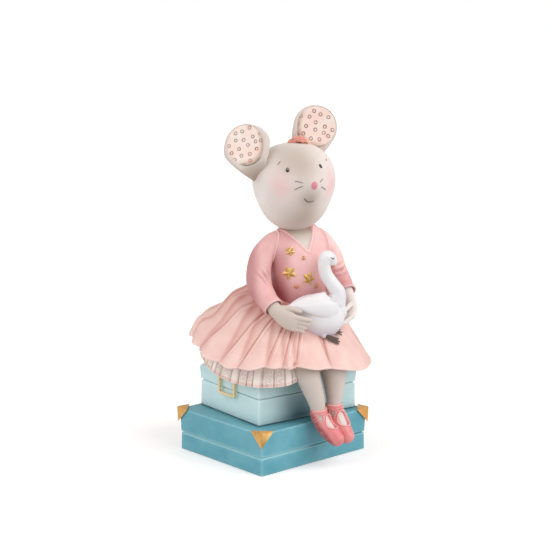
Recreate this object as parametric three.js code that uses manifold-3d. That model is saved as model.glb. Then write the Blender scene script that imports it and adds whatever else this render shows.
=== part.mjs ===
// A mouse money box: a dancer mouse with a swan on its lap sits on two stacked suitcases that hold
// the coins. Millimetres, +Z up. The floor is z = 0, the front of the suitcases faces -Y, and the
// origin lies under the middle of the whole object.
import * as THREE from "three";
import { mergeVertices } from "three/addons/utils/BufferGeometryUtils.js";
import Module from "manifold-3d";

const wasm = await Module();
wasm.setup();

// Driving dimensions

const seam = 0.3; // clearance between neighbouring castings
const fineness = 0.02; // the narrowest sliver that a cut may leave

const lowerCase = { x: -4.5, y: 1.2, length: 72, depth: 64.5, height: 22, turn: 0, seamHeight: 9.3 };
const upperCase = { x: 0.7, y: 3.1, length: 62, depth: 53, height: 22, turn: -5.4, seamHeight: 13.3 };
lowerCase.z = 0;
upperCase.z = lowerCase.height + seam;
const caseWall = 4;
const caseRoof = 3.5;
const caseFloor = 4.5;
const caseCorner = 1.4; // radius of the upright corners
const lidFlare = 0.4; // the lid's top edge stands out past its seam
const seamGroove = { width: 0.7, depth: 0.6 };
const lowerLidRound = 0.7;
const upperLidRound = 2.2;
const throat = { length: 40, depth: 30 }; // opening between the two cases
const coinSlot = { width: 34, height: 5, middle: 31.5 }; // in the back wall of the upper case
const guard = { leg: 7.6, proud: 1.0 };
const clasp = { width: 12.4, height: 9.6, bar: 1.5, proud: 1.5, low: 32.6, shift: 0.4, radius: 0.8 };

const bungHole = { radius: 13.5, recessRadius: 15.3, recessDepth: 3.3 };
const bung = { inset: 1.2, flange: 1.8, plug: 5.4, taper: 0.4, wall: 2.6 };
const bungGrip = { radius: 9.2, depth: 1.0, bar: 3 };

const facing = -18; // azimuth in degrees: 0 looks along -Y, positive turns towards +X
const seat = { x: 4.3, y: -9.2 }; // foot of the torso's axis
// Height, half width and half depth of the torso, and how far its middle lies in front of the axis.
const torso = [
  [72, 14.2, 12.0, 0.2],
  [84, 13.9, 11.7, 0.2],
  [93, 14.7, 12.4, 0.4],
  [101, 15.6, 12.2, 0.4],
  [108, 15.8, 11.4, 0.0],
  [113, 14.4, 10.2, -0.4],
  [116.5, 11.6, 8.8, -0.6],
  [118.8, 8.6, 7.6, -0.6],
];
const neckline = { across: -0.2, bottom: 107.3, left: -15.5, right: 9.4, top: 121.5, recess: 0.9 };
const neckRadius = 6.2;

const skirt = { x: 0, y: 0.6, radius: 47.8, edge: 1.7, inner: 26 };
// The hem's middle height, how much it tips and the azimuth where it is highest.
const hem = { height: 53.8, tip: 7, highest: -135 };
const hemSway = [{ at: -68, by: -3.4, spread: 15 }, { at: -20, by: 2.4, spread: 28 }]; // dips and rises
const waist = { across: 15.0, along: 12.8, back: 91, front: 79 };
const lapFall = { straight: 0.95, power: 5, from: -0.45, to: 0.25 }; // how the cloth drops over the lap
const backFall = { early: 0.52, from: 0.1, to: 0.7, power: 8 }; // and at the sides and behind
const pleat = { depth: 4.6, share: 0.26, start: 0.55, lift: 1.6 };
// Azimuths of the folds' valleys: uneven over the lap and the side, even round the back.
const lapValleys = [-104, -83, -69, -50.5, -40, -32, -7.6];
const backValleys = 9;
const backCrowding = 0.66; // below 1, the folds behind grow narrower on the way round
// The edge is lowest at one azimuth and rises away from it, but always hangs out under the hem.
const petticoat = { radius: 42.2, low: 43.2, lowest: -55, rise: 22, under: 1.5, thickness: 2.2 };
const petticoatInside = { top: 64, topRadius: 33, foot: 23 };
const petticoatPleat = { count: 40, depth: 0.75 };

const head = { across: -3.1, along: 0, middle: 140.2, radius: 21.2, half: 22.4 };
const headShape = { egg: 0.13, depthShare: 0.97 };
const headTurn = -19; // azimuth that the face looks along
const muzzle = { length: 5.2, spread: 9.0, height: 142.2 };
const eyeRadius = 1.1;
const eyes = { right: [-32.2, 149.5], left: [18.2, 150.9] }; // angle from the face, and height
const noseSize = { across: 1.6, up: 2.0, along: 1.9 };
const ear = { radius: 12.3, thickness: 5.4, rim: 1.6, towardsTip: 0.9, recess: 1.2, lining: 0.8 };
const earPlaces = {
  right: { at: [-28.0, -1.0, 159.0], azimuth: -57, tilt: 20, root: [-16.0, -1.5, 150.0], size: 1 },
  left: { at: [9.9, -3.0, 167.8], azimuth: -28, tilt: 8, root: [3.4, -3.0, 154.0], size: 0.94 },
};
const garland = { blooms: 6, span: 11.5, radius: 2.4, along: 2.6, across: -2.6, lift: 1.2 };

// Centre lines as [across, along, up, radius] in the mouse's own frame, the mouse's left being positive.
const sleeveLines = {
  right: [
    [-14.0, -0.6, 111.2, 4.8],
    [-20.0, 0, 105.2, 5.7],
    [-23.0, 1.2, 97.5, 6.1],
    [-23.7, 4, 90, 6.3],
    [-22.9, 10, 84.8, 5.6],
    [-21.2, 15.6, 80.8, 4.8],
  ],
  left: [
    [12.0, -0.6, 110.6, 5.2],
    [17.0, 0, 103.6, 5.7],
    [20.4, 1.8, 95, 5.2],
    [22.0, 5.4, 88.6, 5.0],
    [22.0, 10.6, 84.4, 4.6],
  ],
};
const swan = {
  body: [
    [-15.2, 20.2, 81.4, 1.3, 1.0],
    [-9.5, 20.4, 79.4, 4.6, 5.2],
    [-2.5, 21.0, 77.2, 7.8, 9.4],
    [4.5, 21.6, 76.0, 8.8, 11.4],
    [10.5, 21.8, 77.0, 7.4, 9.1],
    [13.4, 21.8, 78.0, 4.8, 6.0],
  ],
  neck: [
    [12.0, 21.6, 81.5, 5.2],
    [12.6, 21.2, 86.2, 4.4],
    [9.6, 20.0, 91.0, 3.6],
    [6.4, 18.8, 96.0, 3.4],
    [5.3, 18.6, 100.6, 3.3],
    [5.7, 18.8, 103.8, 3.4],
  ],
  head: [
    [5.9, 18.8, 104.7, 3.4],
    [7.6, 19.1, 104.6, 3.6],
    [9.3, 19.4, 103.2, 2.9],
    [10.0, 19.5, 102.0, 2.1],
  ],
  wing: [
    [-10.5, 4.6, 80.6, 0.8, 1.4],
    [-4, 6.6, 79.4, 1.4, 3.8],
    [2.5, 7.6, 78.8, 1.5, 4.6],
    [7, 6.6, 79.2, 1.0, 2.6],
  ],
  beak: [
    [9.7, 19.5, 101.7, 1.7],
    [9.5, 19.6, 100.1, 1.3],
    [8.9, 19.6, 98.6, 0.75],
  ],
  middle: 21, // how far the body's middle lies in front of the torso's axis
};

// Legs and shoes hang in front of the cases: points [x, y, z, radius].
const legLines = {
  right: [
    [-14.0, -31.0, 60, 7.0],
    [-12.6, -34.6, 47.5, 6.1],
    [-8.6, -35.9, 35, 4.4],
    [-6.7, -36.2, 28.4, 3.6],
    [-6.0, -38.2, 23.4, 3.4],
    [-4.9, -42.8, 17.0, 3.0],
  ],
  left: [
    [4.8, -31.5, 60, 7.2],
    [4.8, -34.8, 47, 6.4],
    [4.2, -35.9, 35.5, 4.5],
    [3.9, -36.2, 29.2, 3.6],
    [4.1, -38.2, 24.2, 3.4],
    [4.0, -42.8, 17.6, 3.0],
  ],
};
const shoeLines = {
  right: [
    [-6.7, -36.1, 27.6, 4.5],
    [-6.0, -38.6, 22.6, 4.7],
    [-5.0, -42.4, 17.4, 4.6],
    [-4.3, -45.0, 14.3, 4.0],
  ],
  left: [
    [3.9, -36.1, 28.4, 4.5],
    [4.1, -38.6, 23.4, 4.7],
    [3.9, -42.4, 17.8, 4.6],
    [3.7, -45.0, 14.7, 4.0],
  ],
};
const instep = { radius: [3.1, 3.1, 4.2], out: 4.4, share: 0.62 }; // the shoe's oval opening

// Finishes

const finish = (color, roughness, metalness = 0) =>
  new THREE.MeshStandardMaterial({ color, roughness, metalness });
const paint = {
  teal: finish(0x5fa5b4, 0.45),
  aqua: finish(0xb6d3d7, 0.5),
  gold: finish(0xe5a84c, 0.4, 0.2),
  antique: finish(0xd4a650, 0.35, 0.6),
  peach: finish(0xf2c5ba, 0.6),
  lace: finish(0xf6e7e2, 0.65),
  rose: finish(0xe0979c, 0.6),
  fur: finish(0xdfd6ce, 0.65),
  lining: finish(0xf1dfd8, 0.65),
  coral: finish(0xe8727c, 0.5),
  blossom: finish(0xee8a80, 0.55),
  nose: finish(0xee7f98, 0.4),
  black: finish(0x1d1714, 0.2),
  white: finish(0xf7f6f5, 0.5),
  brown: finish(0x4a3730, 0.5),
  rubber: finish(0x3a3a3c, 0.8),
};

// Solids from meshes

const point = (x, y, z) => new THREE.Vector3(x, y, z);
const rad = THREE.MathUtils.degToRad;
const fullTurn = 360; // degrees
const mix = THREE.MathUtils.lerp;

// A closed three.js geometry becomes a solid; one that came out inside out has its faces turned round.
function solidOf(geometry) {
  const bare = geometry.clone();
  for (const name of Object.keys(bare.attributes)) if (name !== "position") bare.deleteAttribute(name);
  const merged = mergeVertices(bare, 1e-4);
  const vertProperties = merged.attributes.position.array;
  const build = (triVerts) => new wasm.Manifold(new wasm.Mesh({ numProp: 3, vertProperties, triVerts }));
  const faces = new Uint32Array(merged.index.array);
  const solid = build(faces);
  return solid.volume() > 0 ? solid : build(faces.reverse());
}

function geometryOf(solid) {
  const { vertProperties, triVerts, numProp } = solid.getMesh();
  const geometry = new THREE.BufferGeometry();
  geometry.setAttribute("position", new THREE.BufferAttribute(vertProperties.slice(), numProp));
  geometry.setIndex(new THREE.BufferAttribute(triVerts.slice(), 1));
  geometry.computeVertexNormals();
  return geometry;
}

// Rings of equally many points are joined into one closed skin, each end closed by a fan to its apex.
function skin(rings, startApex, endApex) {
  const count = rings[0].length;
  const middle = (ring) => ring.reduce((sum, p) => sum.add(p), point(0, 0, 0)).divideScalar(count);
  const corners = [...rings.flat(), startApex ?? middle(rings[0]), endApex ?? middle(rings.at(-1))];
  const faces = [];
  for (let k = 0; k + 1 < rings.length; k++)
    for (let j = 0; j < count; j++) {
      const a = k * count + j;
      const b = k * count + ((j + 1) % count);
      faces.push(a, b, a + count, b, b + count, a + count);
    }
  const last = (rings.length - 1) * count;
  for (let j = 0; j < count; j++) {
    const next = (j + 1) % count;
    faces.push(next, j, rings.length * count, last + j, last + next, rings.length * count + 1);
  }
  const geometry = new THREE.BufferGeometry().setFromPoints(corners);
  geometry.setIndex(faces);
  return solidOf(geometry);
}

const join = (...solids) => solids.reduce((a, b) => a.add(b));
const largest = (solid) => solid.decompose().sort((a, b) => b.volume() - a.volume())[0];

// A cut keeps the largest piece and closes up slivers that are narrower than the fineness.
const cut = (solid, ...tools) => largest(tools.reduce((a, b) => a.subtract(b), solid)).simplify(fineness);
const turned = (solid, matrix) => solid.transform(matrix.toArray());

// A tube along a smooth line through points [x, y, z, radius] or [x, y, z, half width, half height].
// Its ends are rounded by the cap shares, and 0 leaves an end flat.
function tube(
  line,
  { grow = 0, sides = 16, steps = 14, caps = [0.9, 0.9], capSteps = 2, upright = point(0, 0, 1) } = {},
) {
  const middles = line.map(([x, y, z]) => point(x, y, z));
  const sizes = line.map(([, , , a, b]) => point(a, b ?? a, 0));
  const path = new THREE.CatmullRomCurve3(middles, false, "centripetal");
  const size = new THREE.CatmullRomCurve3(sizes, false, "catmullrom", 0.5);
  const ring = (centre, tangent, a, b) => {
    const side = point(0, 0, 0).crossVectors(tangent, upright).normalize();
    const up = point(0, 0, 0).crossVectors(side, tangent);
    return Array.from({ length: sides }, (_, j) => {
      const angle = (2 * Math.PI * j) / sides;
      const p = centre.clone().addScaledVector(side, a * Math.cos(angle));
      return p.addScaledVector(up, b * Math.sin(angle));
    });
  };
  const capRings = (t, sign, share) => {
    const centre = path.getPoint(t);
    const tangent = path.getTangent(t);
    const { x: a, y: b } = size.getPoint(t);
    const reach = share * (Math.min(a, b) + grow) + (share ? 0 : grow);
    const length = share ? capSteps : 0;
    const angles = Array.from({ length }, (_, k) => 90 * (1 - (k + 1) / (capSteps + 1)));
    const rings = angles.map((deg) =>
      ring(
        centre.clone().addScaledVector(tangent, sign * reach * Math.cos(rad(deg))),
        tangent,
        (a + grow) * Math.sin(rad(deg)),
        (b + grow) * Math.sin(rad(deg)),
      ),
    );
    return { rings, apex: centre.clone().addScaledVector(tangent, sign * reach) };
  };
  const start = capRings(0, -1, caps[0]);
  const end = capRings(1, 1, caps[1]);
  const middleRings = Array.from({ length: steps + 1 }, (_, k) => {
    const t = k / steps;
    const { x: a, y: b } = size.getPoint(t);
    return ring(path.getPoint(t), path.getTangent(t), a + grow, b + grow);
  });
  return skin([...start.rings.reverse(), ...middleRings, ...end.rings], start.apex, end.apex);
}

// A ball with its own half sizes, turned by the matrix.
function ball(radii, matrix, [across, down] = [16, 10]) {
  const rings = Array.from({ length: down - 1 }, (_, k) => {
    const polar = (Math.PI * (k + 1)) / down;
    return Array.from({ length: across }, (_, j) => {
      const angle = (2 * Math.PI * j) / across;
      return point(
        radii[0] * Math.sin(polar) * Math.cos(angle),
        radii[1] * Math.sin(polar) * Math.sin(angle),
        radii[2] * Math.cos(polar),
      );
    });
  });
  return turned(skin(rings, point(0, 0, radii[2]), point(0, 0, -radii[2])), matrix);
}

// The frame of a mouse that sits on the seat and looks along an azimuth: x is its left, y its back, z up.
function mouseFrame(azimuth = facing) {
  return new THREE.Matrix4().makeRotationZ(rad(azimuth)).setPosition(seat.x, seat.y, 0);
}
const inMouse = ([across, along, up, ...sizes]) => {
  const p = point(across, -along, up).applyMatrix4(mouseFrame());
  return [p.x, p.y, p.z, ...sizes];
};

// A frame at a place, with its z axis along the direction.
function frameAlong(place, direction, up = point(0, 0, 1)) {
  const z = direction.clone().normalize();
  const x = point(0, 0, 0).crossVectors(up, z).normalize();
  const y = point(0, 0, 0).crossVectors(z, x);
  return new THREE.Matrix4().makeBasis(x, y, z).setPosition(place);
}

// Suitcases

function roundedRectangle(length, depth, radius, z, quarter = 2) {
  const ring = [];
  for (let corner = 0; corner < 4; corner++)
    for (let k = 0; k <= quarter; k++) {
      const angle = (Math.PI / 2) * (corner + k / quarter);
      const signX = corner === 0 || corner === 3 ? 1 : -1;
      const signY = corner < 2 ? 1 : -1;
      ring.push(
        point(
          signX * (length / 2 - radius) + radius * Math.cos(angle),
          signY * (depth / 2 - radius) + radius * Math.sin(angle),
          z,
        ),
      );
    }
  return ring;
}

const caseFrame = ({ x, y, z, turn }) => new THREE.Matrix4().makeRotationZ(rad(turn)).setPosition(x, y, z);

function plainBox(length, depth, low, high, radius = caseCorner) {
  return skin([low, high].map((z) => roundedRectangle(length, depth, radius, z)));
}

// The outside of a case: a body that leans in a little to its seam, the seam's groove and a lid that
// leans out.
function caseOutside(box, lidRound) {
  const { length, depth, height, seamHeight } = box;
  const half = seamGroove.width / 2;
  const levels = [
    [0, -0.5],
    [0.5, 0],
    [seamHeight - half - 0.2, -lidFlare / 2],
    [seamHeight - half, -lidFlare],
    [seamHeight - half * 0.4, -lidFlare - seamGroove.depth],
    [seamHeight + half * 0.4, -lidFlare - seamGroove.depth],
    [seamHeight + half, 0],
  ];
  for (let k = 0; k <= 3; k++) {
    const angle = (Math.PI / 2) * (k / 3);
    levels.push([height - lidRound * (1 - Math.sin(angle)), lidFlare - lidRound * (1 - Math.cos(angle))]);
  }
  return skin(levels.map(([z, out]) => roundedRectangle(length + 2 * out, depth + 2 * out, caseCorner, z)));
}

// A plain block that holds a whole case and a clearance round it.
function caseEnvelope(box, grow = seam) {
  const out = 2 * (lidFlare + grow);
  return turned(plainBox(box.length + out, box.depth + out, -grow, box.height + grow), caseFrame(box));
}

function latheZ(profile, around = 22) {
  const points = profile.map(([r, z]) => new THREE.Vector2(r, z));
  return solidOf(new THREE.LatheGeometry(points, around).rotateX(Math.PI / 2));
}

const discAt = (radius, low, high, around = 22) =>
  latheZ([[0, low], [radius, low], [radius, high], [0, high]], around);

function lowerSuitcase() {
  const { length, depth, height } = lowerCase;
  const hollow = plainBox(length - 2 * caseWall, depth - 2 * caseWall, caseFloor, height - caseRoof, 2);
  const neck = plainBox(throat.length, throat.depth, height - caseRoof - 1, height + 1, 2);
  const bore = discAt(bungHole.radius, -1, caseFloor + 1);
  const recess = discAt(bungHole.recessRadius, -1, bungHole.recessDepth);
  const shell = cut(caseOutside(lowerCase, lowerLidRound), hollow, neck, bore, recess);
  return turned(shell, caseFrame(lowerCase));
}

function upperSuitcase() {
  const { length, depth, height, z } = upperCase;
  const hollow = plainBox(length - 2 * caseWall, depth - 2 * caseWall, caseRoof, height - caseRoof, 2);
  const neck = plainBox(throat.length, throat.depth, -1, caseRoof + 1, 2);
  const slot = turned(
    plainBox(coinSlot.width, coinSlot.height, -2 * caseWall, 2 * caseWall, coinSlot.height * 0.35),
    new THREE.Matrix4().makeRotationX(Math.PI / 2).setPosition(0, depth / 2, coinSlot.middle - z),
  );
  return turned(cut(caseOutside(upperCase, upperLidRound), hollow, neck, slot), caseFrame(upperCase));
}

// A three-sided metal cap over one top corner of the lower case.
function cornerGuard(signX, signY) {
  const { length, depth, height } = lowerCase;
  const corner = point(length / 2 + lidFlare, depth / 2 + lidFlare, height).addScalar(guard.proud);
  const reach = guard.leg + guard.proud;
  const chamfer = guard.proud * 0.45;
  const tip = [
    point(corner.x - chamfer, corner.y - chamfer, corner.z),
    point(corner.x, corner.y - chamfer, corner.z - chamfer),
    point(corner.x - chamfer, corner.y, corner.z - chamfer),
  ];
  const ends = [
    point(corner.x - reach, corner.y - reach * 0.02, corner.z - chamfer),
    point(corner.x - reach * 0.02, corner.y - reach, corner.z - chamfer),
    point(corner.x - chamfer, corner.y - chamfer, corner.z - reach),
  ];
  const body = wasm.Manifold.hull([...tip, ...ends].map((p) => [p.x * signX, p.y * signY, p.z]));
  return cut(turned(body, caseFrame(lowerCase)), caseEnvelope(lowerCase), caseEnvelope(upperCase));
}

// The moulded ring of the clasp on the left end of the upper case: a flat bar bent round a rectangle.
function sideClasp() {
  const { width, height, bar, proud, low, shift, radius } = clasp;
  const outline = (inset, Kind) => {
    const shape = new Kind();
    roundedRectangle(width - 2 * inset, height - 2 * inset, radius, 0, 3).forEach((p, i) =>
      i ? shape.lineTo(p.x, p.y) : shape.moveTo(p.x, p.y),
    );
    shape.closePath();
    return shape;
  };
  const shape = outline(0, THREE.Shape);
  shape.holes.push(outline(bar, THREE.Path));
  const ring = new THREE.ExtrudeGeometry(shape, { depth: proud, bevelEnabled: false, steps: 1 });
  ring.rotateZ(Math.PI).rotateX(Math.PI / 2).rotateZ(-Math.PI / 2);
  const face = upperCase.length / 2 + lidFlare + seam;
  const place = new THREE.Matrix4().makeTranslation(-face, shift, low + height / 2 - upperCase.z);
  return turned(turned(solidOf(ring), place), caseFrame(upperCase));
}

// The stopper under the base: a flange, a tapered hollow plug and a bar across the grip recess.
function bungSolid() {
  const { inset, flange, plug, taper, wall } = bung;
  const flangeRadius = bungHole.recessRadius - seam * 1.5;
  const plugRadius = bungHole.radius - seam;
  const top = inset + flange + plug;
  const profile = [
    [0, inset + bungGrip.depth],
    [bungGrip.radius, inset + bungGrip.depth],
    [bungGrip.radius + 0.4, inset],
    [flangeRadius - 0.4, inset],
    [flangeRadius, inset + 0.4],
    [flangeRadius, inset + flange],
    [plugRadius, inset + flange],
    [plugRadius - taper, top],
    [plugRadius - taper - wall, top],
    [plugRadius - wall, inset + flange + 0.8],
    [0, inset + flange + 0.8],
  ];
  const turnedBody = latheZ(profile);
  const bar = plainBox(2 * bungGrip.radius, bungGrip.bar, inset + 0.2, inset + bungGrip.depth + 0.2, 1);
  return turned(join(turnedBody, bar), caseFrame(lowerCase));
}

// Skirt and petticoat

const directionOf = (azimuth) => point(Math.sin(azimuth), -Math.cos(azimuth), 0);
function hemHeight(azimuth) {
  const tilted = hem.height + hem.tip * Math.cos(azimuth - rad(hem.highest));
  const sway = hemSway.map(({ at, by, spread }) => {
    const away = Math.sin((azimuth - rad(at)) / 2) / Math.sin(rad(spread) / 2);
    return by * Math.exp(-away * away);
  });
  return tilted + sway[0] + sway[1];
}

const firstBack = lapValleys.at(-1);
const openArc = fullTurn - (firstBack - lapValleys[0]);
const valleys = [
  ...lapValleys,
  ...Array.from({ length: backValleys }, (_, k) => {
    const share = (k + 1) / (backValleys + 1);
    return firstBack + openArc * Math.pow(share, backCrowding);
  }),
];

// The valley that follows the one numbered k, on past the full turn for the last.
const nextValley = (k) => valleys[k + 1] ?? valleys[0] + fullTurn;

// How far a fold is drawn in at an azimuth: 0 on a crest, 1 in a valley, with a sharp valley between
// round crests, and the depth that the fold's width allows.
function fold(azimuth) {
  const past = THREE.MathUtils.euclideanModulo(THREE.MathUtils.radToDeg(azimuth) - valleys[0], fullTurn);
  const degrees = valleys[0] + past;
  const k = valleys.findLastIndex((v) => v <= degrees);
  const width = nextValley(k) - valleys[k];
  const share = (degrees - valleys[k]) / width;
  const depth = Math.min(pleat.depth, pleat.share * rad(width) * skirt.radius);
  return { drawn: 1 - Math.pow(Math.sin(Math.PI * share), 0.6), depth };
}

// Over the lap the cloth falls in a nearly straight slope. At the sides and behind, it puffs out at
// the waist and then drops to the hem.
function skirtPoint(azimuth, run, grow = 0) {
  const relative = azimuth - rad(facing);
  const front = Math.cos(relative);
  const waistPoint = point((waist.across + grow) * Math.sin(relative), -(waist.along + grow) * front, 0);
  waistPoint.applyMatrix4(mouseFrame());
  const { drawn, depth } = fold(azimuth);
  const radius = skirt.radius + grow - depth * drawn * Math.pow(run, pleat.start);
  const hemPoint = directionOf(azimuth).multiplyScalar(radius).add(point(skirt.x, skirt.y, 0));
  const place = waistPoint.lerp(hemPoint, run);
  const waistHeight = mix(waist.back, waist.front, (1 + front) / 2);
  const overLap = THREE.MathUtils.smoothstep(front, lapFall.from, lapFall.to);
  const slope = mix(Math.pow(run, lapFall.power), run, lapFall.straight);
  const soft = THREE.MathUtils.smoothstep(run, backFall.from, backFall.to);
  const puff = mix(Math.pow(run, backFall.power), soft, backFall.early);
  const fall = mix(puff, slope, overLap);
  const low = hemHeight(azimuth) + pleat.lift * drawn * (depth / pleat.depth);
  place.z = mix(waistHeight, low, fall) + grow;
  return place;
}

// The skirt's points stand closer at each valley, where the cloth turns sharply.
const foldShares = [0, 0.12, 0.36, 0.64, 0.88];
const skirtAzimuths = valleys.flatMap((valley, k) =>
  foldShares.map((share) => rad(mix(valley, nextValley(k), share))),
);

function skirtSolid(grow = 0, down = 6) {
  const azimuths = skirtAzimuths;
  const rings = Array.from({ length: down + 1 }, (_, k) => {
    const run = Math.pow(k / down, 0.85);
    return azimuths.map((a) => skirtPoint(a, run, grow));
  });
  const centre = point(skirt.x, skirt.y, 0);
  const towardsMiddle = (p, by) => {
    const flat = point(p.x - centre.x, p.y - centre.y, 0);
    const scale = (flat.length() - by) / flat.length();
    return point(centre.x + flat.x * scale, centre.y + flat.y * scale, p.z);
  };
  rings.push(rings.at(-1).map((p) => towardsMiddle(p, 0.5).setZ(p.z - 0.6 - 2 * grow)));
  rings.push(rings.at(-1).map((p) => towardsMiddle(p, skirt.edge).setZ(p.z + 0.1)));
  const ceiling = petticoatInside.top - 3 - grow;
  rings.push(azimuths.map((a) => directionOf(a).multiplyScalar(skirt.inner).add(centre).setZ(ceiling)));
  const waistMiddle = point(seat.x, seat.y, mix(waist.back, waist.front, 0.5) + grow);
  return skin(rings, waistMiddle, centre.clone().setZ(ceiling));
}

function petticoatHem(azimuth) {
  const swing = 1 - Math.cos(azimuth - rad(petticoat.lowest));
  return Math.min(petticoat.low + petticoat.rise * swing, hemHeight(azimuth) - petticoat.under);
}

const pleatPoints = petticoatPleat.count * 3;
function petticoatSolid({ grow = 0, depth = petticoatPleat.depth, around = pleatPoints } = {}) {
  const down = 2;
  const centre = point(skirt.x, skirt.y, 0);
  const azimuths = Array.from({ length: around }, (_, j) => -Math.PI + (2 * Math.PI * j) / around);
  const at = (azimuth, radius, z) => directionOf(azimuth).multiplyScalar(radius).add(centre).setZ(z);
  const rings = [azimuths.map((a) => at(a, petticoatInside.topRadius + grow, petticoatInside.top + grow))];
  for (let k = 1; k <= down; k++) {
    const run = k / down;
    rings.push(
      azimuths.map((a) => {
        const wave = 0.5 - 0.5 * Math.cos(petticoatPleat.count * (a + Math.PI));
        const smooth = mix(petticoatInside.topRadius, petticoat.radius, Math.pow(run, 0.8));
        const height = mix(petticoatInside.top, petticoatHem(a), run) - (k === down ? grow : 0);
        return at(a, smooth - depth * wave * run + grow, height);
      }),
    );
  }
  const seatTop = upperCase.z + upperCase.height + seam;
  const innerEdge = petticoat.radius - petticoatPleat.depth - petticoat.thickness;
  rings.push(azimuths.map((a) => at(a, innerEdge, petticoatHem(a) + 0.5 - grow)));
  rings.push(azimuths.map((a) => at(a, petticoatInside.foot, seatTop - grow)));
  return skin(rings);
}

// Torso, neck and arms

function torsoSolid(grow = 0, around = 20) {
  const heights = new THREE.CatmullRomCurve3(torso.map(([z, a, b]) => point(a, b, z)));
  const shifts = new THREE.CatmullRomCurve3(torso.map(([z, , , along]) => point(along, 0, z)));
  const steps = 9;
  const rings = Array.from({ length: steps + 1 }, (_, k) => {
    const { x: a, y: b, z } = heights.getPoint(k / steps);
    const along = shifts.getPoint(k / steps).x;
    const up = z + (k === steps ? grow : k === 0 ? -grow : 0);
    return Array.from({ length: around }, (_, j) => {
      const angle = (2 * Math.PI * j) / around;
      const square = (v) => Math.sign(v) * Math.pow(Math.abs(v), 0.92);
      const x = (a + grow) * square(Math.cos(angle));
      const y = (b + grow) * square(Math.sin(angle)) - along;
      return point(x, y, up).applyMatrix4(mouseFrame());
    });
  });
  return skin(rings);
}

// The wedge of the wrapped neckline, a triangle that runs in from the chest.
function necklineWedge(shrink = 0) {
  const { across, bottom, left, right, top } = neckline;
  const shape = new THREE.Shape();
  shape.moveTo(across, bottom + 1.6 * shrink);
  shape.lineTo(right - shrink, top);
  shape.lineTo(left + shrink, top);
  shape.closePath();
  const wedge = new THREE.ExtrudeGeometry(shape, { depth: 17, bevelEnabled: false });
  wedge.rotateX(Math.PI / 2);
  wedge.translate(0, -3 - shrink, 0);
  return turned(solidOf(wedge), mouseFrame());
}

const neckLine = [
  [-0.4, -0.5, 104, neckRadius],
  [-1.4, -0.4, 112, neckRadius],
  [-2.6, -0.2, 122, neckRadius + 0.8],
];
const neckColumn = (grow = 0) =>
  tube(neckLine.map(inMouse), { grow, sides: 14, steps: 3, caps: [0, 0], upright: point(0, 1, 0) });

function headSolid(grow = 0, around = 28, down = 16) {
  const centre = point(...inMouse([head.across, head.along, head.middle]));
  const spin = new THREE.Matrix4().makeRotationZ(rad(headTurn)).setPosition(centre);
  const nosePoint = point(0, -head.radius, muzzle.height - head.middle);
  const at = (polar, angle) => {
    const share = 1 + headShape.egg * Math.cos(polar);
    const flat = (head.radius + grow) * Math.sin(polar) * share;
    const back = -flat * Math.cos(angle) * headShape.depthShare;
    const p = point(flat * Math.sin(angle), back, (head.half + grow) * Math.cos(polar));
    const away = p.distanceTo(nosePoint) / muzzle.spread;
    p.y -= muzzle.length * Math.exp(-away * away * (1.15 - 0.15 * Math.sign(p.z)));
    return p.applyMatrix4(spin);
  };
  const rings = Array.from({ length: down - 1 }, (_, k) =>
    Array.from({ length: around }, (_, j) => at((Math.PI * (k + 1)) / down, (2 * Math.PI * j) / around)),
  );
  return skin(rings, at(0, 0), at(Math.PI, 0));
}

// The point of the head's skin at an angle from its facing and a height, with the outward direction there.
function onHead(angleDegrees, height) {
  const centre = point(...inMouse([head.across, head.along, head.middle]));
  const polar = Math.acos(THREE.MathUtils.clamp((height - head.middle) / head.half, -1, 1));
  const flat = head.radius * Math.sin(polar) * (1 + headShape.egg * Math.cos(polar));
  const azimuth = rad(headTurn + angleDegrees);
  const place = directionOf(azimuth).multiplyScalar(flat).add(centre).setZ(height);
  const out = directionOf(azimuth).multiplyScalar(Math.sin(polar)).setZ(Math.cos(polar));
  return { place, out };
}

// Hands: a palm and four fingers side by side, with the thumb across.

function hand(palm, fingers, thumb, upright) {
  const parts = [tube(palm.map(inMouse), { sides: 10, steps: 4, upright })];
  for (const finger of fingers) parts.push(tube(finger.map(inMouse), { sides: 5, steps: 2, capSteps: 1 }));
  parts.push(tube(thumb.map(inMouse), { sides: 5, steps: 2, capSteps: 1 }));
  return join(...parts);
}

const fingerSpread = 2.15; // from finger to finger
const fingerRadius = 1.35;

function rightHand() {
  const palm = [
    [-21.6, 14.6, 81.6, 3.5],
    [-20.4, 19.0, 78.9, 3.2, 4.0],
    [-17.6, 24.4, 75.9, 2.4, 4.8],
    [-14.2, 27.2, 74.4, 1.9, 4.5],
  ];
  const fingers = Array.from({ length: 4 }, (_, k) => {
    const drop = k * fingerSpread;
    return [
      [-16.0, 26.4, 77.6 - drop, fingerRadius],
      [-11.6, 29.2 - 0.25 * k, 76.4 - drop, fingerRadius],
      [-7.8 - 1.1 * k, 30.3 - 0.5 * k, 75.4 - drop, fingerRadius * 0.85],
    ];
  });
  const thumb = [
    [-19.2, 20.6, 81.0, 1.7],
    [-15.4, 24.8, 81.3, 1.6],
    [-11.8, 27.4, 80.2, 1.3],
  ];
  return hand(palm, fingers, thumb, point(0, 0, 1));
}

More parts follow.
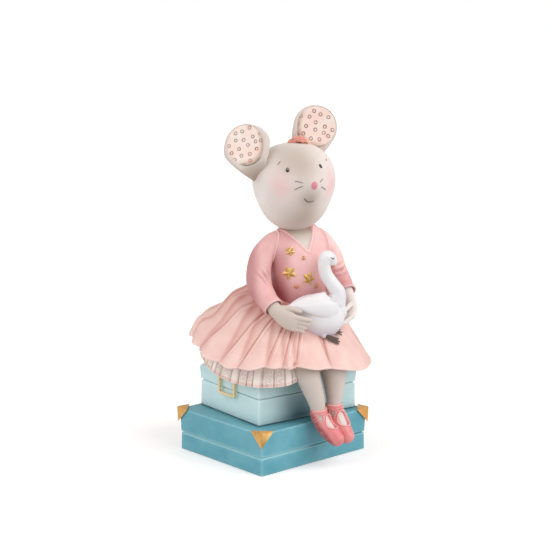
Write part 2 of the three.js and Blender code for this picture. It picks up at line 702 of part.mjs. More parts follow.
function leftHand() {
  const palm = [
    [22.2, 10.0, 85.2, 3.2],
    [22.2, 13.8, 80.6, 2.8, 3.4],
    [20.8, 17.6, 76.2, 2.4, 4.0],
    [18.2, 20.8, 73.4, 2.0, 4.0],
  ];
  const fingers = Array.from({ length: 4 }, (_, k) => {
    const back = k * fingerSpread * 0.9;
    return [
      [20.0, 22.4 - back, 74.2, fingerRadius],
      [16.6, 23.4 - back, 71.8, fingerRadius],
      [13.2 + 0.6 * k, 23.4 - back, 70.8, fingerRadius * 0.85],
    ];
  });
  const thumb = [
    [21.4, 17.2, 79.4, 1.5],
    [19.2, 20.8, 79.6, 1.4],
    [16.8, 23.2, 78.6, 1.2],
  ];
  return hand(palm, fingers, thumb, point(0, 1, 0));
}

// Ears: a thick dish with a rolled rim on a tapered root, and a lining disc sunk in the dish.

// An ear's own frame: z out of the dish, y from the root towards the tip.
function earFrame({ at, root, azimuth, tilt, size }) {
  const place = point(...inMouse(at));
  const out = directionOf(rad(azimuth)).multiplyScalar(Math.cos(rad(tilt))).setZ(Math.sin(rad(tilt)));
  const towardsTip = place.clone().sub(point(...inMouse(root)));
  return frameAlong(place, out, towardsTip).scale(point(size, size, size));
}

const earBowlShift = () => new THREE.Matrix4().makeTranslation(0, ear.towardsTip, 0);

function earSolid(place) {
  const { radius, thickness, rim, recess } = ear;
  const front = thickness / 2;
  const dish = latheZ(
    [
      [0, -front],
      [radius * 0.55, -front * 0.92],
      [radius * 0.86, -front * 0.5],
      [radius, front * 0.1],
      [radius - 0.25, front * 0.7],
      [radius - 0.9, front],
      [0, front],
    ],
    24,
  );
  const { at, root } = place;
  const across = point(...inMouse(root)).sub(point(...inMouse(at)));
  const normal = point(0, 0, 1).transformDirection(earFrame(place));
  const line = [0.25, 0.6, 1, 1.25].map((share, k) => {
    const p = point(...inMouse(at)).addScaledVector(across, share).addScaledVector(normal, -0.6);
    return [p.x, p.y, p.z, [10.4, 9.6, 8.2, 6.6][k] * place.size, [2.2, 3.0, 4.0, 4.2][k]];
  });
  const stem = tube(line, { sides: 10, steps: 4, upright: normal });
  const bowl = turned(discAt(radius - rim, front - recess, front + 8, 24), earBowlShift());
  return join(turned(dish, earFrame(place)), stem).subtract(turned(bowl, earFrame(place)));
}

function earLining(place) {
  const { radius, thickness, rim, recess, lining } = ear;
  const floor = thickness / 2 - recess + seam;
  const edge = radius - rim - seam;
  const profile = [
    [0, floor],
    [edge, floor],
    [edge, floor + lining * 0.8],
    [edge - 0.5, floor + lining],
    [0, floor + lining - 0.2],
  ];
  return turned(turned(latheZ(profile, 24), earBowlShift()), earFrame(place));
}

// A plain disc that holds an ear's whole dish, lining and all.
const earEnvelope = (place) =>
  turned(discAt(ear.radius + seam, -ear.thickness / 2 - seam, ear.thickness / 2 + seam), earFrame(place));

function garlandSolid() {
  const { blooms, span, radius, along, across, lift } = garland;
  const crown = (u) => {
    const flat = Math.hypot(u - head.across, along - head.along) / head.radius;
    return head.middle + head.half * Math.sqrt(Math.max(0, 1 - flat * flat)) * 0.995;
  };
  const places = Array.from({ length: blooms }, (_, k) => {
    const share = k / (blooms - 1) - 0.5;
    const u = across + span * share;
    return [u, along + 1.6 * Math.cos(Math.PI * 1.6 * share) - 0.8, crown(u) + 0.4];
  });
  const stems = places.map(([u, w, z]) => inMouse([u, w, z + lift - 0.9, 1.2]));
  const band = tube(stems, { sides: 6, steps: 5, capSteps: 1 });
  const flowers = places.map(([u, w, z], k) => {
    const petals = 5;
    const size = radius * (k % 2 ? 0.8 : 1);
    const ring = (scale, up) =>
      Array.from({ length: petals * 2 }, (_, j) => {
        const angle = (2 * Math.PI * j) / (petals * 2);
        const wave = j % 2 ? 0.72 : 1;
        return point(size * scale * wave * Math.cos(angle), size * scale * wave * Math.sin(angle), up);
      });
    const bloom = skin([ring(0.8, -1.2), ring(1, 0.4)], undefined, point(0, 0, 0.9));
    const lean = new THREE.Matrix4().makeRotationY(rad(28 * (k / (blooms - 1) - 0.5)));
    return turned(bloom, lean.setPosition(point(...inMouse([u, w, z + lift]))));
  });
  return join(band, ...flowers);
}

// Stars and beads on the chest

function onChest(across, height) {
  const heights = new THREE.CatmullRomCurve3(torso.map(([z, a, b]) => point(a, b, z)));
  const fine = 140;
  const steps = Array.from({ length: fine + 1 }, (_, k) => heights.getPoint(k / fine));
  const level = steps.reduce((best, p) => (Math.abs(p.z - height) < Math.abs(best.z - height) ? p : best));
  const front = (u) => level.y * Math.sqrt(1 - (u / level.x) ** 2) + 0.2;
  const place = point(...inMouse([across, front(across), height]));
  const beside = point(...inMouse([across + 0.5, front(across + 0.5), height]));
  const out = point(0, 0, 0).crossVectors(beside.sub(place), point(0, 0, 1)).normalize();
  return frameAlong(place, out);
}

function starSolid([across, height, radius, spin]) {
  const ring = (z, scale) =>
    Array.from({ length: 10 }, (_, j) => {
      const angle = rad(spin) + (Math.PI * j) / 5 + Math.PI / 2;
      const reach = radius * scale * (j % 2 ? 0.5 : 1);
      return point(reach * Math.cos(angle), reach * Math.sin(angle), z);
    });
  return turned(skin([ring(-2, 0.9), ring(0.55, 1)], undefined, point(0, 0, 1.5)), onChest(across, height));
}

const stars = {
  small_star: [-9.3, 107.4, 2.6, 12],
  large_star: [-9.8, 96.6, 3.7, -8],
  middle_star: [-0.5, 93.4, 3.3, 14],
};
const beads = {
  upper_bead: [-3.0, 103.9, 1.0],
  left_bead: [4.3, 89.2, 1.3],
  right_bead: [-6.5, 89.6, 1.25],
};

// Swan

function swanBody(grow = 0) {
  const body = tube(swan.body.map(inMouse), { grow, sides: 14, steps: 7, caps: [1, 0.75] });
  const wing = (side) => {
    const line = swan.wing.map(([u, out, ...rest]) => inMouse([u, swan.middle + side * out, ...rest]));
    return tube(line, { grow, sides: 6, steps: 4, capSteps: 1 });
  };
  return join(body, wing(1), wing(-1));
}

const mouseForward = directionOf(rad(facing));
function swanNeck(grow = 0) {
  const options = { grow, sides: 10, upright: mouseForward };
  const neck = tube(swan.neck.map(inMouse), { ...options, steps: 10, caps: [0.9, 0.9] });
  return join(neck, tube(swan.head.map(inMouse), { ...options, steps: 4, caps: [0.6, 0.7] }));
}
const swanBeak = () =>
  tube(swan.beak.map(inMouse), { sides: 8, steps: 2, caps: [0.3, 0.9], upright: mouseForward });

// A webbed foot: a fan of three toes, laid on the skirt.
function swanFoot([across, along, up], headingDegrees, slopeDegrees) {
  const toes = [[4.2, -2.2], [4.2, -1.2], [6.8, -0.7], [5.2, 0.2], [6, 1.5], [3.8, 1.3]];
  const web = [[0, -0.8], ...toes, [0, 0.8]];
  const shape = new THREE.Shape(web.map(([x, y]) => new THREE.Vector2(x, y)));
  const plate = new THREE.ExtrudeGeometry(shape, { depth: 2.4, bevelEnabled: false });
  plate.translate(0, 0, -1.4);
  const place = point(...inMouse([across, along, up]));
  const matrix = new THREE.Matrix4()
    .makeRotationZ(rad(facing + headingDegrees))
    .multiply(new THREE.Matrix4().makeRotationX(rad(-slopeDegrees)))
    .setPosition(place);
  return turned(solidOf(plate), matrix);
}

// Legs and shoes

const legSolid = (side, grow = 0) =>
  tube(legLines[side], { grow, sides: 12, steps: 8, caps: [0.4, 0.8], upright: point(0, 1, 0) });

const shoeLast = (side, grow = 0) =>
  tube(shoeLines[side], { grow, sides: 12, steps: 6, caps: [0.55, 0.85], upright: point(0, 1, 0) });

function shoeSolid(side) {
  const line = shoeLines[side];
  const body = shoeLast(side);
  const [ankle, , ball1] = line;
  const slope = point(ball1[0] - ankle[0], ball1[1] - ankle[1], ball1[2] - ankle[2]).normalize();
  const sideways = point(0, 0, 0).crossVectors(slope, point(0, 0, 1)).normalize();
  const out = point(0, 0, 0).crossVectors(sideways, slope).normalize();
  const middle = point(...ankle).lerp(point(...ball1), instep.share).addScaledVector(out, instep.out);
  const opening = new THREE.Matrix4().makeBasis(sideways, out, slope).setPosition(middle);
  const collar = plainBox(30, 30, 0, 12);
  const top = new THREE.Matrix4().makeTranslation(ankle[0], ankle[1], ankle[2] + 2.3);
  return body.subtract(ball(instep.radius, opening, [10, 6])).subtract(turned(collar, top));
}

// Assembly

const moneyBox = new THREE.Group();

function add(name, solid, material) {
  const mesh = new THREE.Mesh(geometryOf(solid), material);
  mesh.name = name;
  moneyBox.add(mesh);
}

const lowerOutside = caseEnvelope(lowerCase);
const upperOutside = caseEnvelope(upperCase);
add("lower_suitcase", lowerSuitcase(), paint.teal);
for (const [end, signY] of [["front", -1], ["back", 1]])
  for (const [side, signX] of [["left", -1], ["right", 1]])
    add(`corner_guard_${end}_${side}`, cornerGuard(signX, signY), paint.gold);
add("upper_suitcase", upperSuitcase(), paint.aqua);
add("side_clasp", sideClasp(), paint.gold);
add("bung", bungSolid(), paint.rubber);

const torsoOutside = torsoSolid(seam);
const headOutside = headSolid(seam);
const coarse = 0.1; // more clearance where the tool has fewer points than the pleats
const petticoatOutside = petticoatSolid({ grow: seam + coarse, depth: 0, around: petticoatPleat.count });
const pleatsOutside = petticoatSolid({ grow: seam, depth: 0 });
const skirtOutside = skirtSolid(seam);
add("petticoat", cut(petticoatSolid(), upperOutside, lowerOutside), paint.lace);
add("skirt", cut(skirtSolid(), petticoatOutside, torsoOutside), paint.peach);

add("bodice", cut(torsoSolid(), necklineWedge(), neckColumn(seam), headOutside), paint.rose);
const chest = torsoSolid(-neckline.recess).intersect(necklineWedge(seam));
add("neck", cut(join(neckColumn(), chest), headOutside), paint.fur);

const skirtAndTorso = [torsoOutside, skirtOutside];
const sleeve = (side, grow = 0) =>
  tube(sleeveLines[side].map(inMouse), { grow, sides: 12, steps: 9, caps: [0.9, 0] });
for (const side of ["left", "right"])
  add(side + "_sleeve", cut(sleeve(side), ...skirtAndTorso), paint.rose);

const swanOutside = join(swanBody(seam), swanNeck(seam));
const hands = { left: leftHand(), right: rightHand() };
for (const side of ["left", "right"])
  add(side + "_hand", cut(hands[side], sleeve(side, seam), swanOutside, ...skirtAndTorso), paint.fur);

add("swan_body", cut(swanBody(), ...skirtAndTorso), paint.white);
add("swan_neck", cut(swanNeck(), swanBody(seam), torsoOutside), paint.white);
add("swan_beak", cut(swanBeak(), swanNeck(seam)), paint.nose);
add("swan_near_foot", cut(swanFoot([0.4, 29.0, 65.4], 6, 44), ...skirtAndTorso, swanOutside), paint.brown);
add("swan_far_foot", cut(swanFoot([6.4, 28.2, 68.2], 10, 44), ...skirtAndTorso, swanOutside), paint.brown);

add("head", headSolid(), paint.fur);
for (const side of ["left", "right"]) {
  add(side + "_ear", cut(earSolid(earPlaces[side]), headOutside), paint.fur);
  add(side + "_ear_lining", cut(earLining(earPlaces[side]), headOutside), paint.lining);
}
add("flower_garland", cut(garlandSolid(), headOutside, earEnvelope(earPlaces.left)), paint.blossom);

const nose = onHead(0, muzzle.height);
const noseTip = nose.place.clone().addScaledVector(directionOf(rad(headTurn)), muzzle.length - 0.4);
const noseFrame = frameAlong(noseTip, directionOf(rad(headTurn)));
const noseBall = ball([noseSize.across, noseSize.up, noseSize.along], noseFrame, [9, 7]);
add("nose", cut(noseBall, headOutside), paint.nose);
for (const side of ["left", "right"]) {
  const { place, out } = onHead(...eyes[side]);
  const matrix = frameAlong(place.addScaledVector(out, 0.1), out);
  add(side + "_eye", cut(ball(Array(3).fill(eyeRadius), matrix, [10, 6]), headOutside), paint.black);
}

for (const [name, star] of Object.entries(stars))
  add(name, cut(starSolid(star), torsoOutside), paint.antique);
for (const [name, [across, height, radius]] of Object.entries(beads)) {
  const bead = ball(Array(3).fill(radius), onChest(across, height), [10, 6]);
  add(name, cut(bead, torsoOutside), paint.antique);
}

let otherShoe = null;
for (const side of ["right", "left"]) {
  const leg = cut(legSolid(side), pleatsOutside, skirtOutside, lowerOutside, upperOutside);
  add(side + "_leg", leg, paint.fur);
  const tools = [legSolid(side, seam), lowerOutside];
  if (otherShoe) tools.push(otherShoe);
  add(side + "_shoe", cut(shoeSolid(side), ...tools), paint.coral);
  otherShoe = shoeLast(side, seam);
}

export default moneyBox;
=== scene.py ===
# %% [markdown]
# # A painted money box: a mouse with a swan, sitting on two suitcases
# The real object is a resin casting about 18 cm high, painted by hand: matt colours, a darker wash
# rubbed into the hollows and a little light paint dragged over the edges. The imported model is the
# fixed frame. Each piece below is worked out with numpy as a finer surface in the same place, and it
# rides on the body that carries it.

import bpy
import numpy as np
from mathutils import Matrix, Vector
from mathutils.bvhtree import BVHTree


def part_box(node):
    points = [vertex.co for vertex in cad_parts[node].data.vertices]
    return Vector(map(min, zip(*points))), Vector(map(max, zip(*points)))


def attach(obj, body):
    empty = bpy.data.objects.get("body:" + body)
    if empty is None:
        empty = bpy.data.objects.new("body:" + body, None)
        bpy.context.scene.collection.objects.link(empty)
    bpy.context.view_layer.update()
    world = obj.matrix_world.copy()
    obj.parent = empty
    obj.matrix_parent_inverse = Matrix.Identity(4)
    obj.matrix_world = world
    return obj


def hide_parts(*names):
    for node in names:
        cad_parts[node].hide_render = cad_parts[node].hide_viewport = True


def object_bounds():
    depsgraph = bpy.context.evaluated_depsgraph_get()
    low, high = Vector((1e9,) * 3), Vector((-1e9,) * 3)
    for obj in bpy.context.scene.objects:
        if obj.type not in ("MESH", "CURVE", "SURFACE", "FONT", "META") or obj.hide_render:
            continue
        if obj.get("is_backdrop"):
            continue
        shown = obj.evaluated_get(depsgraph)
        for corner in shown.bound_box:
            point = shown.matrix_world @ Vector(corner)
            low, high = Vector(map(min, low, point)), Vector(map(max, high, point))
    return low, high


MM = 0.001
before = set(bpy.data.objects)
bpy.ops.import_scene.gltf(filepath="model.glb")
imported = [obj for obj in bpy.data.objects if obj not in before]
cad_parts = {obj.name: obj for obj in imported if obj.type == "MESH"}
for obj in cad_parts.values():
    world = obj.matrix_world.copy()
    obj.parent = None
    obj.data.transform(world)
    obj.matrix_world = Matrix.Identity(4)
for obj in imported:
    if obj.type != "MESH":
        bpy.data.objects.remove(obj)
cad_box = [list(corner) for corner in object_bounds()]
print("nodes:", len(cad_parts), "box in metres:", np.round(cad_box, 4).tolist())


def linked(name, data):
    """A new object with this data, put into the scene."""
    thing = bpy.data.objects.new(name, data)
    bpy.context.scene.collection.objects.link(thing)
    return thing


# %% [markdown]
# The camera stands where the photographer's stood: a little to the left of the front, about eleven
# degrees above the middle of the figure, with a long lens that hardly converges. Three numbers place
# it on a sphere round the point that it aims at, which is easier to reason about than x, y and z.

# %% Camera
def direction(azimuth, elevation):
    """The unit vector towards an azimuth and elevation in radians. Azimuth 0 is the front, -y."""
    flat = np.cos(elevation)
    return np.array([np.sin(azimuth) * flat, -np.cos(azimuth) * flat, np.sin(elevation)])


aim, distance = Vector((-0.0030, 0.0012, 0.0924)), 0.772
turn, rise = np.radians((-41.6, 10.7))
sight = Vector(direction(turn, rise))
lens = bpy.data.cameras.new("camera")
lens.lens, lens.sensor_width = 98.18, 36.0
camera = linked("camera", lens)
camera.location = aim + sight * distance
camera.rotation_euler = (-sight).to_track_quat("-Z", "Y").to_euler()
bpy.context.scene.camera = camera
print("camera at", [round(c, 3) for c in camera.location])

# %% [markdown]
# Every shape is a grid of rings: rows that run along the piece and columns that run round it. A closed
# skin joins neighbouring rings by quads and closes each end with a fan, and where its volume comes out
# negative, its faces are turned. Working in millimetres keeps the numbers close to a ruler's.

# %% From rings to a closed skin
def unit(vectors):
    """Each vector divided by its own length."""
    return vectors / np.maximum(np.linalg.norm(vectors, axis=-1, keepdims=True), 1e-9)


def skin(rings, ends=True):
    """Points and faces of a closed skin over rings (rows, columns, 3). Quad (r, c) joins points c and c+1 of
    rows r and r+1. With ends, the first and last rows close by a fan to their middle, and without, the last
    row joins the first."""
    rows, columns = rings.shape[:2]
    points = rings.reshape(-1, 3)
    here = np.arange(columns)
    there = (here + 1) % columns
    row = np.arange(rows - 1 if ends else rows)[:, None]
    top, below = row * columns, (row + 1) % rows * columns
    quads = np.stack([top + here, top + there, below + there, below + here], -1).reshape(-1, 4)
    corners = points[quads]
    volume = np.einsum("ij,ij->i", corners[:, 0], np.cross(corners[:, 1], corners[:, 2])).sum()
    volume += np.einsum("ij,ij->i", corners[:, 0], np.cross(corners[:, 2], corners[:, 3])).sum()
    faces = quads.tolist()
    if ends:
        last = (rows - 1) * columns
        points = np.vstack([points, rings[0].mean(0), rings[-1].mean(0)])
        start, end = rows * columns, rows * columns + 1
        faces += np.stack([there, here, np.full(columns, start)], -1).tolist()
        faces += np.stack([last + here, last + there, np.full(columns, end)], -1).tolist()
    if volume < 0:
        faces = [face[::-1] for face in faces]
    return points, faces


def joined(shells):
    """One list of points and faces from several closed skins, with each skin's numbers moved on."""
    starts = np.cumsum([0] + [len(points) for points, _ in shells])
    faces = [[int(start) + i for i in face] for start, (_, part) in zip(starts, shells) for face in part]
    return np.vstack([points for points, _ in shells]), faces


# %% [markdown]
# Painters of such figures rub a dark wash into every hollow and catch the edges with light paint. Both
# follow the shape, so they are measured on it: at each point, how far its neighbours stand above or
# below its own tangent plane. Kept as two attributes, they stay with the mesh from every side. Blender's
# pointiness gives a like value, but only inside the renderer and at one fixed reach.

# %% Wash and edge attributes
def points_of(mesh):
    """The mesh's points in mm."""
    flat = np.empty(len(mesh.vertices) * 3)
    mesh.vertices.foreach_get("co", flat)
    return flat.reshape(-1, 3) / MM


def edge_mean(at_first, at_second, edges, count):
    """For each point, the mean over its edges of what each edge gives to its first and its second point."""
    total = np.bincount(edges[0], at_first, count) + np.bincount(edges[1], at_second, count)
    return total / np.maximum(np.bincount(edges.ravel(), minlength=count), 1)


def curvature(mesh, soften):
    """How hollow the surface is at each point, in 1/mm. It is the mean over the point's edges of
    (normal . edge) / length^2, then averaged with its neighbours as many times as soften says. Edges and
    ridges come out negative."""
    places, count = points_of(mesh), len(mesh.vertices)
    normals, edges = np.empty(count * 3), np.empty(len(mesh.edges) * 2, int)
    mesh.vertices.foreach_get("normal", normals)
    mesh.edges.foreach_get("vertices", edges)
    normals, edges = normals.reshape(-1, 3), edges.reshape(-1, 2).T
    first, second = edges
    step = places[second] - places[first]
    square = np.maximum((step**2).sum(1), 1e-4)
    rise_first = (normals[first] * step).sum(1) / square
    rise_second = -(normals[second] * step).sum(1) / square
    hollow = np.clip(edge_mean(rise_first, rise_second, edges, count), -3, 3)
    for _ in range(soften):
        hollow = 0.4 * hollow + 0.6 * edge_mean(hollow[second], hollow[first], edges, count)
    return hollow


def weather(mesh, wash=1.0, edge=1.0, soften=3, stain=None, **tints):
    """Writes the wash and edge attributes from the curvature. stain(places in mm) adds more wash
    and painted shade. Every further name is a tint, an attribute of its own: numbers from 0 to 1, or a
    function of the places."""
    places, hollow = points_of(mesh), curvature(mesh, soften)
    # The wash attribute holds the wash in the hollows and the painted shade given by stain.
    dark = np.clip(np.clip(hollow * wash, 0, 1) + (stain(places) if stain else 0), 0, 1)
    for name, values in {"wash": dark, "edge": -hollow * edge - 0.05, **tints}.items():
        values = values(places) if callable(values) else values
        values = np.clip(np.broadcast_to(values, len(places)), 0, 1).astype(np.float32)
        mesh.attributes.new(name, "FLOAT", "POINT").data.foreach_set("value", values)
    return dark.mean()


# %% [markdown]
# A piece is a mesh, its attributes, a paint, and the names that tie it to the frame: the body that it
# rides on and the node that it stands for. One helper does it all, so that no piece is left hanging.

# %% Making a piece
pieces = {}


def mesh_of(name, points, faces):
    """A smooth-shaded mesh from points in mm and faces."""
    mesh = bpy.data.meshes.new(name)
    mesh.from_pydata((np.asarray(points) * MM).tolist(), [], faces)
    mesh.shade_smooth()
    return mesh


def dressed(name, mesh, paint, slot, nodes=(), body="money_box", **finish):
    """Gives a finished mesh its attributes, paint and body, and hides its nodes. The slot is not used."""
    thing = linked(name, mesh)
    dark = weather(mesh, **finish)
    mesh.materials.append(paint)
    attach(thing, body)
    if nodes:
        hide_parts(*nodes)
    pieces[name] = thing
    print(f"{name}: {len(mesh.polygons)} faces, mean wash {dark:.3f}")
    return thing


def piece(name, points, faces, *ties, **finish):
    """Builds a mesh from points in mm and dresses it."""
    return dressed(name, mesh_of(name, points, faces), *ties, **finish)


# %% [markdown]
# One recipe paints everything: a base colour that wavers softly, the wash mixed in where the wash
# attribute says, the light edge colour on top, and a fine bump for the brush and the cast resin.
# Each paint gets its own colours and gloss. Numbers that are the same all over sit on the shader itself.

# %% The paint recipe
def tone(code):
    """A colour of six hex digits as linear light: ((c + 0.055) / 1.055)^2.4, and c / 12.92 if dark."""
    shares = np.array([int(code[i : i + 2], 16) for i in (0, 2, 4)]) / 255
    linear = np.where(shares < 0.04045, shares / 12.92, ((shares + 0.055) / 1.055) ** 2.4)
    return (*linear.tolist(), 1.0)


def mixed(colour, other, share):
    """A colour moved by a share towards another, in linear light."""
    return (*(np.array(colour[:3]) * (1 - share) + np.array(other[:3]) * share).tolist(), 1.0)


class Recipe:
    """A material's nodes, with short ways to add and join them."""

    def __init__(self, name):
        self.material = bpy.data.materials.new(name)
        self.material.use_nodes = True
        self.tree = self.material.node_tree
        self.shader = self.tree.nodes["Principled BSDF"]
        self.place = self.add("ShaderNodeTexCoord").outputs["Object"]

    def add(self, kind, inputs=(), **settings):
        """A new node with these settings, and its inputs fed by name or number."""
        node = self.tree.nodes.new(kind)
        for key, value in settings.items():
            setattr(node, key, value)
        for key, value in dict(inputs).items():
            self.feed(node.inputs[key], value)
        return node

    def feed(self, socket, value):
        """Joins a socket to another one, or sets its plain value."""
        if isinstance(value, bpy.types.NodeSocket):
            self.tree.links.new(value, socket)
        else:
            socket.default_value = value

    def noise(self, size, detail=2.0):
        """Noise whose blotches are about size mm across."""
        inputs = {"Vector": self.place, "Scale": 1 / (size * MM), "Detail": detail}
        return self.add("ShaderNodeTexNoise", inputs).outputs["Fac"]

    def math(self, operation, first, second=0.0, clamp=False):
        node = self.add("ShaderNodeMath", {0: first, 1: second}, operation=operation, use_clamp=clamp)
        return node.outputs[0]

    def stretch(self, value, low, high, to_low, to_high):
        """The value moved from one range to another and held inside it."""
        keys = {"Value": value, "From Min": low, "From Max": high, "To Min": to_low, "To Max": to_high}
        return self.add("ShaderNodeMapRange", keys).outputs["Result"]

    def mix(self, share, first, second):
        return self.add("ShaderNodeMix", {0: share, 6: first, 7: second}, data_type="RGBA").outputs[2]

    def attribute(self, name):
        return self.add("ShaderNodeAttribute", attribute_name=name).outputs["Fac"]

    def finish(self, colour, gloss, height, strength, reach=0.3):
        """Joins colour, roughness and a bump of this height to the shader, and gives back the material."""
        bump = self.add("ShaderNodeBump", {"Height": height, "Strength": strength, "Distance": reach * MM})
        for name, value in (("Base Color", colour), ("Roughness", gloss), ("Normal", bump.outputs["Normal"])):
            self.feed(self.shader.inputs[name], value)
        return self.material


def painted(name, base, wash, light, rough=0.5, waver=0.5, coat=0.0, metal=0.0, bump=0.12, tints=()):
    """A hand-painted finish. The base colour wavers towards a darker and a lighter tone with the noise. Over
    it lie the tints, (attribute, colour) layers such as a blush, a painted shade and a painted highlight,
    then the wash colour by its attribute times noise, which holds painted shade as well, and last the light
    colour by the edge attribute times noise."""
    recipe = Recipe(name)
    base, wash, light = tone(base), tone(wash), tone(light)
    cloud, grain, speck = recipe.noise(9.0, 3.0), recipe.noise(0.9), recipe.noise(0.28, 1.0)
    darker, paler = mixed(base, wash, 0.10 * waver), mixed(base, light, 0.22 * waver)
    colour = recipe.mix(recipe.stretch(cloud, 0.3, 0.7, 0, 1), darker, paler)
    for attribute, tint in tints:
        colour = recipe.mix(recipe.attribute(attribute), colour, tone(tint))
    streak = recipe.stretch(recipe.noise(2.4, 3.0), 0.3, 0.7, 0.55, 1.25)
    rubbed = recipe.math("MULTIPLY", recipe.attribute("wash"), streak, clamp=True)
    drag = recipe.stretch(grain, 0.3, 0.7, 0.45, 1.2)
    dragged = recipe.math("MULTIPLY", recipe.attribute("edge"), drag, clamp=True)
    colour = recipe.mix(dragged, recipe.mix(rubbed, colour, wash), light)
    gloss = recipe.stretch(cloud, 0.3, 0.7, rough - 0.07, rough + 0.07)
    gloss = recipe.math("ADD", gloss, recipe.math("MULTIPLY", rubbed, 0.12))
    height = recipe.math("ADD", recipe.math("MULTIPLY", grain, 0.6), recipe.math("MULTIPLY", speck, 0.4))
    for socket, value in (("Metallic", metal), ("Coat Weight", coat), ("Coat Roughness", 0.25)):
        recipe.shader.inputs[socket].default_value = value
    print("paint:", name)
    return recipe.finish(colour, gloss, height, bump)


# %% [markdown]
# Nothing on a hand-made casting is quite straight. A sum of a few long sine waves in fixed directions
# gives each surface a slow unevenness of a tenth of a millimetre or so. It is the same on every run,
# and unlike noise in a material it also moves the outline.

# %% Slow unevenness
def unevenness(places, length, seed):
    """The mean of four sine waves of about that length in mm, in directions drawn once from the seed."""
    chance = np.random.default_rng(seed)
    ways = unit(chance.normal(size=(4, 3))) * (2 * np.pi / length) * chance.uniform(0.7, 1.4, (4, 1))
    shifts = chance.uniform(0, 2 * np.pi, 4)
    return np.sin(places @ ways.T + shifts).mean(-1)


def outward(rings):
    """Unit normals of a grid of rings: the cross product of the differences along its rows and columns,
    turned away from each ring's middle."""
    around = np.roll(rings, -1, 1) - np.roll(rings, 1, 1)
    along = np.gradient(rings, axis=0)
    normals = unit(np.cross(around, along))
    away = ((rings - rings.mean(1, keepdims=True)) * normals).sum(-1).mean()
    return normals if away > 0 else -normals


def step_up(value, low, high):
    """0 below low, 1 above high, and 3s^2 - 2s^3 between."""
    share = np.clip((value - low) / (high - low), 0, 1)
    return share * share * (3 - 2 * share)


def bump_at(value, middle, width):
    """A smooth bump of height 1: exp(-((value - middle) / width)^2)."""
    return np.exp(-(((value - middle) / width) ** 2))


print("unevenness at the origin:", float(unevenness(np.zeros(3), 20, 1)))

# %% [markdown]
# ## The suitcases
# Two hollow boxes stand on each other, the upper one turned a little. On the real casting each is a
# plain shell with a groove where the lid would open. A cube with bevels would give the outside alone.
# Here one skin of rounded rectangles runs over the outside, through the throat and round the inside,
# so the walls have their true thickness and coins would fall through.

# %% Case paints and sizes
# The teal paint's pale tint is a painted highlight on the lid's seam.
teal = painted("teal_case_paint", "5aa5b6", "244f5c", "a6d6dc", rough=0.42, waver=0.8, coat=0.12,
               tints=(("pale", "a9d8de"),))
# The aqua paint's shade tint is the painted shadow of the legs on the front wall.
aqua = painted("aqua_case_paint", "cbe8ea", "3a6570", "ecf9f9", rough=0.45, waver=0.5, coat=0.1,
               tints=(("shade", "46727c"),))
lower_case = {"x": -4.5, "y": 1.2, "z": 0.0, "turn": 0.0, "length": 72.0, "depth": 64.5, "height": 22.0,
              "seam": 9.3, "lid_round": 0.7}
upper_case = {"x": 0.7, "y": 3.1, "z": 22.3, "turn": -5.4, "length": 62.6, "depth": 53.0, "height": 22.0,
              "seam": 13.3, "lid_round": 2.2}
wall, roof, floor_thickness, corner_radius, flare = 4.0, 3.5, 4.5, 0.9, 0.4
throat = (40.0, 30.0)


def rectangle_ring(length, depth, radius, corner_steps=8, side_steps=44):
    """Points round a rectangle with rounded corners: four quarter circles and the straight sides."""
    signs = np.array([(1, 1), (-1, 1), (-1, -1), (1, -1)])
    angles = np.radians(90) * (np.arange(4)[:, None] + np.linspace(0, 1, corner_steps + 1))
    middles = signs * (np.array([length, depth]) / 2 - radius)
    arcs = middles[:, None] + radius * np.stack([np.cos(angles), np.sin(angles)], -1)
    share = (np.arange(1, side_steps) / side_steps)[:, None]
    sides = arcs[:, -1:] * (1 - share) + np.roll(arcs, -1, 0)[:, :1] * share
    return np.concatenate([arcs, sides], 1).reshape(-1, 2)


reference = rectangle_ring(lower_case["length"], lower_case["depth"], corner_radius)
mouth = rectangle_ring(*throat, 2.0)


def circle_ring(radius):
    """A circle with its points on the reference rectangle's rays, so that one can turn into the other."""
    return unit(reference) * radius


def at_height(ring, z):
    """A flat ring lifted to a height."""
    return np.column_stack([ring, np.full(len(ring), float(z))])


def between(first, last, steps):
    """Rings in even steps from one ring to another, both ends left out."""
    share = (np.arange(1, steps) / steps)[:, None, None]
    return list(first * (1 - share) + last * share)


def case_side(box):
    """The outside from the base to the roof's edge, by (height, growth): a rounded foot, a body that leans in
    to the seam, the groove with a soft lower lip, and a lid that leans out and rounds over."""
    seam, height, lid_round = box["seam"], box["height"], box["lid_round"]
    profile = [(0.0, -0.5), (0.04, -0.22), (0.14, -0.06), (0.4, 0.0)]
    profile += [(z, -0.2 * z / seam) for z in np.linspace(1.2, seam - 1.1, 9)]
    groove = [(-0.62, -0.2), (-0.42, -0.32), (-0.28, -0.62), (-0.2, -1.0),
              (0.12, -1.0), (0.2, -0.7), (0.3, -0.22), (0.46, -0.02), (0.8, 0.03)]
    profile += [(seam + z, out) for z, out in groove]
    top = height - lid_round
    profile += [(z, flare * (z - seam) / (top - seam)) for z in np.linspace(seam + 1.6, top - 0.5, 8)]
    for angle in np.radians(np.linspace(0, 90, 8)):
        profile.append((height - lid_round * (1 - np.sin(angle)), flare - lid_round * (1 - np.cos(angle))))
    grown = [(z, box["length"] + 2 * out, box["depth"] + 2 * out) for z, out in profile]
    return [at_height(rectangle_ring(length, depth, corner_radius), z) for z, length, depth in grown]


def inner_wall(box):
    """The flat ring of a case's inside."""
    return rectangle_ring(box["length"] - 2 * wall, box["depth"] - 2 * wall, 2.0)


